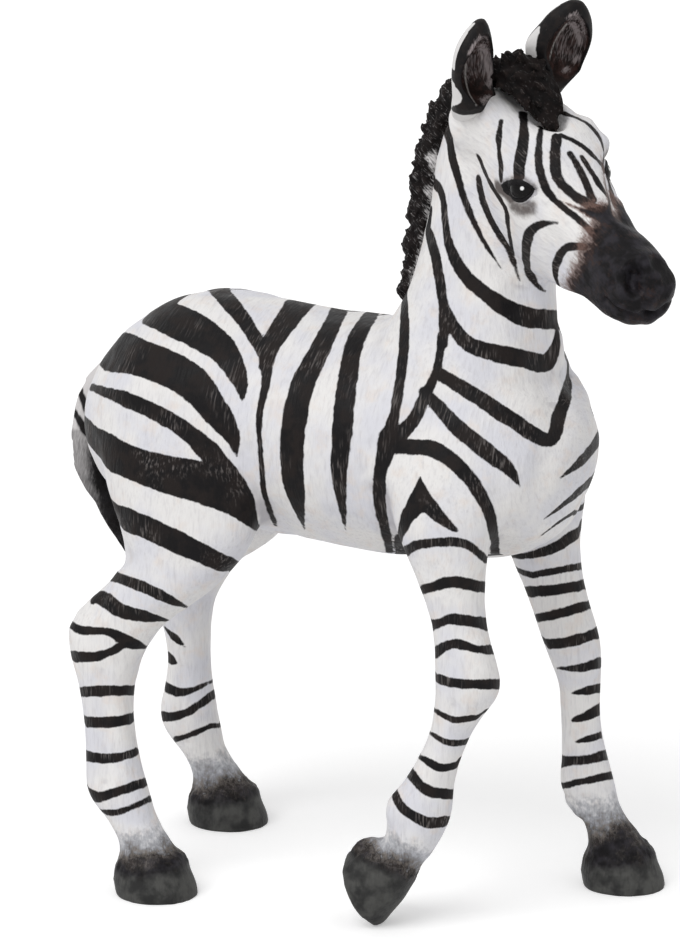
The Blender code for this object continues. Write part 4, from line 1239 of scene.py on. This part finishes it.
# a pale line on the inner rim, a painted highlight
colour = over(tree, colour, EAR_RIM_HIGHLIGHT, value_of(tree, "line"), 0.30, 0.70, 0.75)
wired(tree, shader, Base_Color=colour, Roughness=0.5, Specular_IOR_Level=0.12)
embossed(tree, shader, (fuzz, 0.5, 0.06 * MM), (mottle, 0.3, 0.15 * MM))


def swept(value, start, end):
    return float(eased(np.array(value), start, end))


def within(value, rise, fall):
    return swept(value, *rise) * swept(value, *fall)


for name, ear in EARS.items():
    outer = HEAD_LEFT * ear.hand
    root = POLL + NOSEWARD * (ear.along * HEAD_LENGTH) + outer * (ear.aside * HEAD_WIDTH)
    root += BROW_UP * (ear.above * HEAD_DEPTH)
    axis = (BROW_UP + outer * ear.lean - NOSEWARD * EAR_SLANT).normalized()
    mouth = NOSEWARD + outer * ear.outward
    mouth = (mouth - axis * mouth.dot(axis)).normalized()
    broad = mouth.cross(axis)
    form = bmesh.new()
    rings = []
    marks = []
    nap = []
    for t, half_width, half_depth in flowing(EAR_OUTLINE, 6):
        opened = within(t, *CUP_OPENS)
        narrowing = (t - CUP_MIDDLE) / ((CUP_TOP if t > CUP_MIDDLE else CUP_FOOT) - CUP_MIDDLE)
        open_share = max(1 - narrowing ** 2, 0.01) ** 0.5
        left_edge, right_edge = ear.edges
        centre = (left_edge + right_edge) / 2 - CUP_SHIFT * swept(t, *CUP_SHIFTS)
        half = (left_edge - right_edge) / 2 * open_share
        left_height, right_height = (math.sqrt(1 - edge ** 2) for edge in (centre + half, centre - half))
        flare = BACK_FLARE * within(t, *BACK_FLARES)
        bend = outer * (-ear.heel * MM * max(HEEL_BENDS[0] - t, 0) / HEEL_BENDS[1])
        bend -= broad * (ear.tip * MM * max(t / TIP_BENDS[0] - TIP_BENDS[1], 0) ** 2)
        bend -= view_back * (ear.sunk * MM * max((ROOT_SINKS[0] - t) / ROOT_SINKS[1], 0))
        foot = ear.foot * swept(t, *FOOT_WIDENS)
        half_width *= (1 + foot + ear.breadth * swept(t, *HALF_WIDENS)) * EAR_WIDTH
        half_depth *= (1 + foot) * EAR_DEPTH
        bands = max(within(t, *UPPER_BAND), within(t, *LOWER_BAND))
        root_white = swept(t, ear.pale, ear.pale - PALE_FADE)
        low_down = swept(t, *DOWN_STARTS) * DOWN_SHARES[0]
        top_down = swept(t, *DOWN_TOP) * DOWN_SHARES[1]
        ring = []
        for i in range(EAR_SIDES):
            angle = math.tau * i / EAR_SIDES
            side = math.sin(angle)
            front = math.cos(angle)
            inward = 1 - abs(side - centre) / half if front > 0 else -1
            inside = 0.0
            if inward > 0:
                lean = (side - centre) / half
                height = 0.5 * (left_height * (1 + lean) + right_height * (1 - lean))
                bowl = height - CUP_DIP * open_share * (1 - (1 - inward) ** 2) ** 0.6
                front = front * (1 - opened) + bowl * opened
                inside = opened * min(inward / CUP_RIM, 1)
            outwards = side * ear.hand
            spread = 1 + flare * max(outwards * math.sin(angle + ear.hand * 0.5), 0) if outwards > 0 else 1
            nap.append((t * ear.length * MM, side * half_width, front * half_depth))
            place = root + axis * nap[-1][0] + broad * (nap[-1][1] * spread) + mouth * nap[-1][2] + bend
            ring.append(form.verts.new(place))
            white = max(swept(min(angle, math.tau - angle), *WHITE_TURN) * bands, root_white)
            down = max(swept(side, *DOWN_SIDE) * low_down, top_down)
            marks.append((white, inside, down * inside, 0.0))
        rings.append(ring)
    for lower, upper in zip(rings, rings[1:]):
        for i in range(EAR_SIDES):
            j = (i + 1) % EAR_SIDES
            form.faces.new((lower[i], lower[j], upper[j], upper[i]))
    form.faces.new(rings[0])
    form.faces.new(rings[-1])
    bmesh.ops.recalc_face_normals(form, faces=form.faces)
    leaf = linked(name + "_casting", form)
    points = places_of(leaf.data)
    tree = searchable(leaf.data)
    for mark, share in zip(("white", "cup", "down", "line"), np.array(marks).T):
        for rows in EAR_STROKES[name].get(mark, ()):
            stroke = 0.5 - distance(points, cast(rows, tree), STROKE_REACH) / STROKE_REACH
            share = np.maximum(share, np.clip(stroke, 0, 1) * STROKE_STRENGTH[mark])
        recorded(leaf.data, mark, share)
    recorded(leaf.data, "nap", np.array(nap) / MM)
    coated(leaf.data, ear_paint)
    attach(leaf, "root")
    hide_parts(name)


# Mane, forelock and tail
# Each is a solid mass of vinyl, modelled lock by lock and glued into its seat.
# It is painted nearly black, with a painted highlight in brown on its raised locks, and its tufts are
# dry-brushed in white.

LOCK_SIDES = 7
LOCK_STEPS = 8
# points of a lock's bend along its own length: the root, the middle and the tip
LOCK_BEND = (-0.2, 0.35, 0.8)
LOCK_TAPER = (1.2, 0.45)
LOCK_SIZES = (0.65, 1.25)
CORE_GRID = 0.3 * MM
HAIR_GRID = 0.14 * MM
PALE_HAIR = (0.62, 0.60, 0.60)
# the paint in the depths and over all, and the painted highlight on the raised locks
MANE_COLOURS = ((0.0065, 0.0056, 0.0058), (0.012, 0.0092, 0.0088), (0.070, 0.056, 0.053))
FORELOCK_COLOURS = ((0.0048, 0.0042, 0.0042), (0.0088, 0.0062, 0.0058), (0.042, 0.029, 0.025))
TAIL_COLOURS = ((0.010, 0.009, 0.009), (0.018, 0.017, 0.018), (0.07, 0.067, 0.066))
MANE_FOOT = 46 * MM
MANE_HEIGHT = 28 * MM
MANE_BACKWARDS = np.array([-0.9, 0, 0.1])
MANE_UPWARDS = np.array([-0.45, 0, 0.9])
FORELOCK_RUN = 5 * MM
# the mane's back as y and x in pixels, how far it is pressed in there, and how deep the pressing reaches
MANE_BACK = ((184, 408, 0), (198, 405, 4), (214, 404, 5), (244, 399, 5), (274, 397, 6), (288, 396, 0))
MANE_PRESS_DEPTH = 22
PRESS_SHARE = 0.85
# outlines of the forelock's fringe, its far side and the back of the tail, as x and y in pixels
FORELOCK_FRINGE = (
    (480, 82), (494, 84), (503, 86), (512, 91), (523, 104), (532, 113), (541, 121), (548, 129), (556, 132),
)
FRINGE_TUFTS = 3.5
FRINGE_WAVES = (0.55, 1.9, 0.23)
FORELOCK_SIDE = (
    (537, 50), (545, 60), (553, 75), (558, 85), (561, 95), (563, 105), (563, 116), (560, 126), (556, 132),
)
TAIL_BACK = (
    (86, 382), (79, 394), (76, 406), (74, 418), (72, 430), (71, 450), (74, 466), (80, 478), (87, 490),
    (97, 502),
    (102, 514), (109, 526), (117, 538), (124, 550), (128, 556),
)
# white tufts at the foot of the mane, as reach in mm, strength and pixels
MANE_TUFTS = (
    (1.0, 0.75, ((432, 158), (438, 168), (442, 182))), (0.9, 0.7, ((430, 190), (435, 198), (438, 208))),
    (0.8, 0.6, ((430, 212), (435, 222))), (0.8, 0.65, ((426, 238), (423, 252), (420, 266))),
    (0.7, 0.45, ((415, 270), (412, 284))),
)
# how pale the tail is by height in the picture, its middle line, and its two black bars
TAIL_PALE = (
    (370, 1.2), (424, 1.2), (431, 0.40), (455, 0.37), (475, 0.30), (495, 0.20), (515, 0.02), (540, -0.2),
)
TAIL_MIDDLE = ((424, 450, 480, 510, 550), (95, 87, 91, 106, 124))
TAIL_HALF = 12
INNER_DARK = 0.45
TAIL_BARS = (((79, 390), (84, 402), (88, 413)), ((74, 411), (81, 423), (90, 432)))
BAR_REACH = 0.62 * MM
BAR_DARK = 1.6


def lock_tree():
    """Bent, tapering locks of hair on a core: they follow its flow and lift off its surface."""
    tree = bpy.data.node_groups.new("hair_locks", "GeometryNodeTree")
    sockets = tree.interface
    sockets.new_socket("Core", in_out="INPUT", socket_type="NodeSocketGeometry")
    for name, default in (
        ("Spacing", 0.6 * MM), ("Length", 1.6 * MM), ("Thickness", 0.3 * MM),
        ("Bend", 0.3), ("Lift", 0.4), ("Tangle", 0.3),
    ):
        sockets.new_socket(name, in_out="INPUT", socket_type="NodeSocketFloat").default_value = default
    sockets.new_socket("Seed", in_out="INPUT", socket_type="NodeSocketInt").default_value = 1
    sockets.new_socket("Paint", in_out="INPUT", socket_type="NodeSocketMaterial")
    sockets.new_socket("Hair", in_out="OUTPUT", socket_type="NodeSocketGeometry")
    entry = tree.nodes.new("NodeGroupInput").outputs
    leave = tree.nodes.new("NodeGroupOutput").inputs

    def step(kind, settings=None, **inputs):
        return node(tree, "GeometryNode" + kind, settings, **inputs)

    def figure(kind, settings=None, **inputs):
        return node(tree, "FunctionNode" + kind, settings, **inputs)[0]

    def vector(operation, first, **second):
        return node(tree, "ShaderNodeVectorMath", {"operation": operation}, _0=first, **second)[0]

    def drawn(low, high):
        """A random number for each lock."""
        values = {"_2": low, "_3": high, "Seed": entry["Seed"]}
        return node(tree, "FunctionNodeRandomValue", {"data_type": "FLOAT"}, **values)[1]

    def upon(along, aside=0.0):
        """A point of a lock, from its places along and beside it."""
        return node(tree, "ShaderNodeCombineXYZ", X=aside, Z=times(tree, entry["Length"], along))[0]

    spots = step("DistributePointsOnFaces", {"distribute_method": "POISSON"}, Mesh=entry["Core"],
                 Distance_Min=entry["Spacing"], Density_Max=1e8, Seed=entry["Seed"])
    flow = step("InputNamedAttribute", {"data_type": "FLOAT_VECTOR"}, Name="flow")["Attribute"]
    corners = {"_0": (-1, -1, -1), "_1": (1, 1, 1), "Seed": entry["Seed"]}
    stray = figure("RandomValue", {"data_type": "FLOAT_VECTOR"}, **corners)
    stray = vector("SCALE", stray, Scale=entry["Tangle"])
    lean = vector("ADD", flow, _1=vector("SCALE", spots["Normal"], Scale=entry["Lift"]))
    turned = figure("AlignRotationToVector", {"axis": "Z"}, Vector=vector("ADD", lean, _1=stray))
    rolled = figure("AxisAngleToRotation", Axis=(0, 0, 1), Angle=drawn(0.0, math.tau))
    turned = figure("RotateRotation", {"rotation_space": "LOCAL"}, Rotation=turned, Rotate_By=rolled)

    start, middle, tip = LOCK_BEND
    middle = upon(middle, times(tree, entry["Length"], entry["Bend"]))
    bend = {"Start": upon(start), "Middle": middle, "End": upon(tip)}
    bow = step("CurveQuadraticBezier", Resolution=LOCK_STEPS, **bend)[0]
    taper = ramped(tree, step("SplineParameter")["Factor"], *LOCK_TAPER)
    girth = times(tree, times(tree, entry["Thickness"], 0.5), taper)
    bow = step("SetCurveRadius", Curve=bow, Radius=girth)[0]
    ring = step("CurvePrimitiveCircle", Resolution=LOCK_SIDES, Radius=1)[0]
    lock = step("CurveToMesh", Curve=bow, Profile_Curve=ring, Fill_Caps=True, Scale=girth)[0]
    size = drawn(*LOCK_SIZES)
    many = step("InstanceOnPoints", Points=spots["Points"], Instance=lock, Rotation=turned, Scale=size)[0]
    both = tree.nodes.new("GeometryNodeJoinGeometry")
    tree.links.new(step("RealizeInstances", Geometry=many)[0], both.inputs[0])
    tree.links.new(entry["Core"], both.inputs[0])
    tree.links.new(step("SetMaterial", Geometry=both.outputs[0], Material=entry["Paint"])[0], leave[0])
    return tree


def hair_mass(name, paint, swell, flow, grain, shape, smoothing, **sizes):
    """A core taken from the solid, grown over with locks, merged into one mass and pressed into shape."""
    mass = linked(name + "_hair", welded(name, swell))
    modified(mass, "REMESH", mode="VOXEL", voxel_size=CORE_GRID)
    modified(mass, "SMOOTH", iterations=4)
    settled(mass)
    recorded(mass.data, "flow", flow(places_of(mass.data)))
    locks = mass.modifiers.new("locks", "NODES")
    locks.node_group = hair_tree
    keys = {item.name: item.identifier for item in hair_tree.interface.items_tree if item.in_out == "INPUT"}
    for size, value in sizes.items():
        locks[keys[size]] = value
    locks[keys["Paint"]] = paint
    settled(mass)
    modified(mass, "REMESH", mode="VOXEL", voxel_size=HAIR_GRID)
    modified(mass, "SMOOTH", iterations=smoothing)
    settled(mass)
    outer_shell(mass)
    placed(mass.data, shape(places_of(mass.data)))
    recorded(mass.data, "hollow", hollows(mass.data))
    along = Vector(grain).normalized()
    aside = along.orthogonal().normalized()
    recorded(mass.data, "nap", places_of(mass.data) @ np.array((along, aside, along.cross(aside))).T / MM)
    coated(mass.data, paint)
    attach(mass, "root")
    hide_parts(name)
    return mass


def hair_paint(name, deep, plain, tip, highlight_share, brush_share=1.1):
    """Dark paint with a painted highlight of lighter strokes on the raised locks; pale hair is brushed white
    or grey.
    """
    material, tree, shader = material_with(name)
    strands = hairs(tree, 0.15)
    colour = over(tree, deep, plain, blotches(tree, 1.2 * MM), 0.36, 0.64)
    # lighter strokes on the raised locks, a painted highlight
    raised_highlight = ramped(tree, value_of(tree, "hollow"), -0.005, -0.05)
    dry_brush_and_highlight = times(tree, raised_highlight, ramped(tree, strands, 0.40, 0.70))
    colour = blended(tree, times(tree, dry_brush_and_highlight, highlight_share), colour, tip)
    pale = plus(tree, value_of(tree, "pale"), swing(tree, strands, brush_share))
    colour = over(tree, colour, PALE_HAIR, pale, 0.08, 0.95)
    wired(tree, shader, Base_Color=colour, Roughness=0.7, Specular_IOR_Level=0.07)
    embossed(tree, shader, (strands, 0.5, 0.10 * MM))
    return material


def mane_flow(points):
    """Hair of the mane stands away from the crest, backwards low down and upwards at the poll."""
    rise = np.clip((points[:, 2] - MANE_FOOT) / MANE_HEIGHT, 0, 1)[:, None]
    return MANE_BACKWARDS * (1 - rise) + MANE_UPWARDS * rise


def forelock_flow(points):
    """The forelock rises behind the brow and falls over it."""
    along = np.clip((points - POLL) @ NOSEWARD / FORELOCK_RUN, 0, 1)[:, None]
    return np.array(NOSEWARD) * (0.45 + 0.55 * along) + np.array(BROW_UP) * (0.35 - 0.65 * along)


def tail_flow(points):
    """Strands run down along the tail's own bend."""
    bend = np.polyder(np.polyfit(points[:, 2], points[:, 0], 3))
    lean = -np.polyval(bend, points[:, 2])
    return np.stack((lean, np.zeros(len(points)), -np.ones(len(points))), axis=1)


def picture_places(points):
    """Where points stand in the picture, in pixels."""
    offset = points - VIEW_PLACE
    scale = FOCAL_PIXELS / -(offset @ view_back)
    return PICTURE_WIDTH / 2 + offset @ view_right * scale, PICTURE_HEIGHT / 2 - offset @ view_up * scale


def pressed(points, pixels, direction):
    """Points moved by shares of a number of pixels."""
    return points + np.outer(pixels * PIXEL * PRESS_SHARE, direction)


def mane_shape(points):
    """The back of the mane is pressed in above the withers."""
    across, down = picture_places(points)
    ys, backs, shifts = np.array(MANE_BACK, float).T
    near_back = np.clip(1 - (across - np.interp(down, ys, backs)) / MANE_PRESS_DEPTH, 0, 1)
    return pressed(points, np.interp(down, ys, shifts) * near_back, view_right)


def forelock_shape(points):
    """The forelock's fringe and far side end in ragged lines."""
    across, down = picture_places(points)
    xs, ys = np.array(FORELOCK_FRINGE, float).T
    pitch, sway, sway_pitch = FRINGE_WAVES
    ragged = FRINGE_TUFTS * np.abs(np.sin(across * pitch + sway * np.sin(across * sway_pitch)))
    points = pressed(points, np.clip(down - np.interp(across, xs, ys) - ragged, 0, None), view_up)
    across, down = picture_places(points)
    xs, ys = np.array(FORELOCK_SIDE, float).T
    return pressed(points, np.clip(np.interp(down, ys, xs) - across, None, 0), view_right)


def tail_shape(points):
    """The tail's back follows the line seen in the photograph."""
    across, down = picture_places(points)
    xs, ys = np.array(TAIL_BACK, float).T
    return pressed(points, np.clip(np.interp(down, ys, xs) - across, 0, None), view_right)


def both_flanks(path):
    return (path, path * (1, -1, 1) + np.array(MIRROR_PLACE) * 2)


hair_tree = lock_tree()
mane = hair_mass(
    "mane", hair_paint("mane_paint", *MANE_COLOURS, 0.5, 1.9),
    -0.30 * MM, mane_flow, (-0.75, 0, 0.66), mane_shape, 7,
    Spacing=0.44 * MM, Length=0.95 * MM, Thickness=0.62 * MM, Bend=0.45, Lift=0.45, Tangle=0.75, Seed=3,
)
points = places_of(mane.data)
tree = searchable(mane.data)
pale = np.zeros(len(points))
for reach, strength, rows in MANE_TUFTS:
    for path in both_flanks(traced(rows, tree)):
        pale = np.maximum(pale, strength * closeness(points, path, reach * MM))
recorded(mane.data, "pale", pale)

forelock = hair_mass(
    "forelock", hair_paint("forelock_paint", *FORELOCK_COLOURS, 0.5),
    -0.50 * MM, forelock_flow, NOSEWARD, forelock_shape, 8,
    Spacing=0.62 * MM, Length=1.6 * MM, Thickness=0.85 * MM, Bend=0.45, Lift=0.10, Tangle=0.40, Seed=5,
)
recorded(forelock.data, "pale", np.zeros(len(forelock.data.vertices)))

tail = hair_mass(
    "tail", hair_paint("tail_paint", *TAIL_COLOURS, 0.7, 0.45),
    -0.42 * MM, tail_flow, (-0.2, 0, -1), tail_shape, 5,
    Spacing=0.42 * MM, Length=3.4 * MM, Thickness=0.40 * MM, Bend=0.03, Lift=0.0, Tangle=0.03, Seed=7,
)
points = places_of(tail.data)
tree = searchable(tail.data)
across, down = picture_places(points)
inner = np.clip((across - np.interp(down, *TAIL_MIDDLE)) / TAIL_HALF, -0.3, 1)
pale = np.interp(down, *np.array(TAIL_PALE).T) - INNER_DARK * inner
for rows in TAIL_BARS:
    for path in both_flanks(traced(rows, tree)):
        pale -= BAR_DARK * closeness(points, path, BAR_REACH)
recorded(tail.data, "pale", pale)


# Table top and light
# The figure stands on a plain, pale table top of matt card, in a pale room.
# One large soft lamp stands at the viewer's left.

TABLE_SIZE = 3.0
TABLE_WHITE = 0.88
TABLE_GLOW = 0.30
ROOM_LIGHT = 0.62
LAMP_STRENGTH = 1.35
LAMP_SPREAD = math.radians(38)
LAMP_PLACE = -view_right * 0.55 + Vector((view_back.x, view_back.y, 0)) * 0.75 + Vector((0, 0, 1.1))


def direct_look(tree):
    """1 for what the camera sees straight, in a mirror or through glass."""
    rays = node(tree, "ShaderNodeLightPath")
    reflected = reckoned(tree, "MAXIMUM", rays["Is Glossy Ray"], rays["Is Transmission Ray"])
    return reckoned(tree, "MAXIMUM", rays["Is Camera Ray"], reflected)


floor_form = bmesh.new()
bmesh.ops.create_grid(floor_form, x_segments=1, y_segments=1, size=TABLE_SIZE)
floor = linked("table_top", floor_form)
table, tree, shader = material_with("table_top")
wired(
    tree, shader, Base_Color=(TABLE_WHITE, TABLE_WHITE, TABLE_WHITE, 1), Roughness=0.9,
    Specular_IOR_Level=0.0, Emission_Color=(1, 1, 1, 1),
    Emission_Strength=times(tree, direct_look(tree), TABLE_GLOW),
)
floor.data.materials.append(table)

world = bpy.data.worlds.new("pale_room")
world.use_nodes = True
tree = world.node_tree
strength = ramped(tree, direct_look(tree), 0, 1, ROOM_LIGHT, 1.0)
wired(tree, tree.nodes["Background"], Color=(1, 1, 1, 1), Strength=strength)
bpy.context.scene.world = world
bpy.context.scene.view_settings.view_transform = "Standard"

lamp_data = bpy.data.lights.new("soft_lamp", "SUN")
lamp_data.energy = LAMP_STRENGTH
lamp_data.angle = LAMP_SPREAD
lamp = bpy.data.objects.new("soft_lamp", lamp_data)
bpy.context.scene.collection.objects.link(lamp)
lamp.rotation_euler = LAMP_PLACE.to_track_quat("Z", "Y").to_euler()
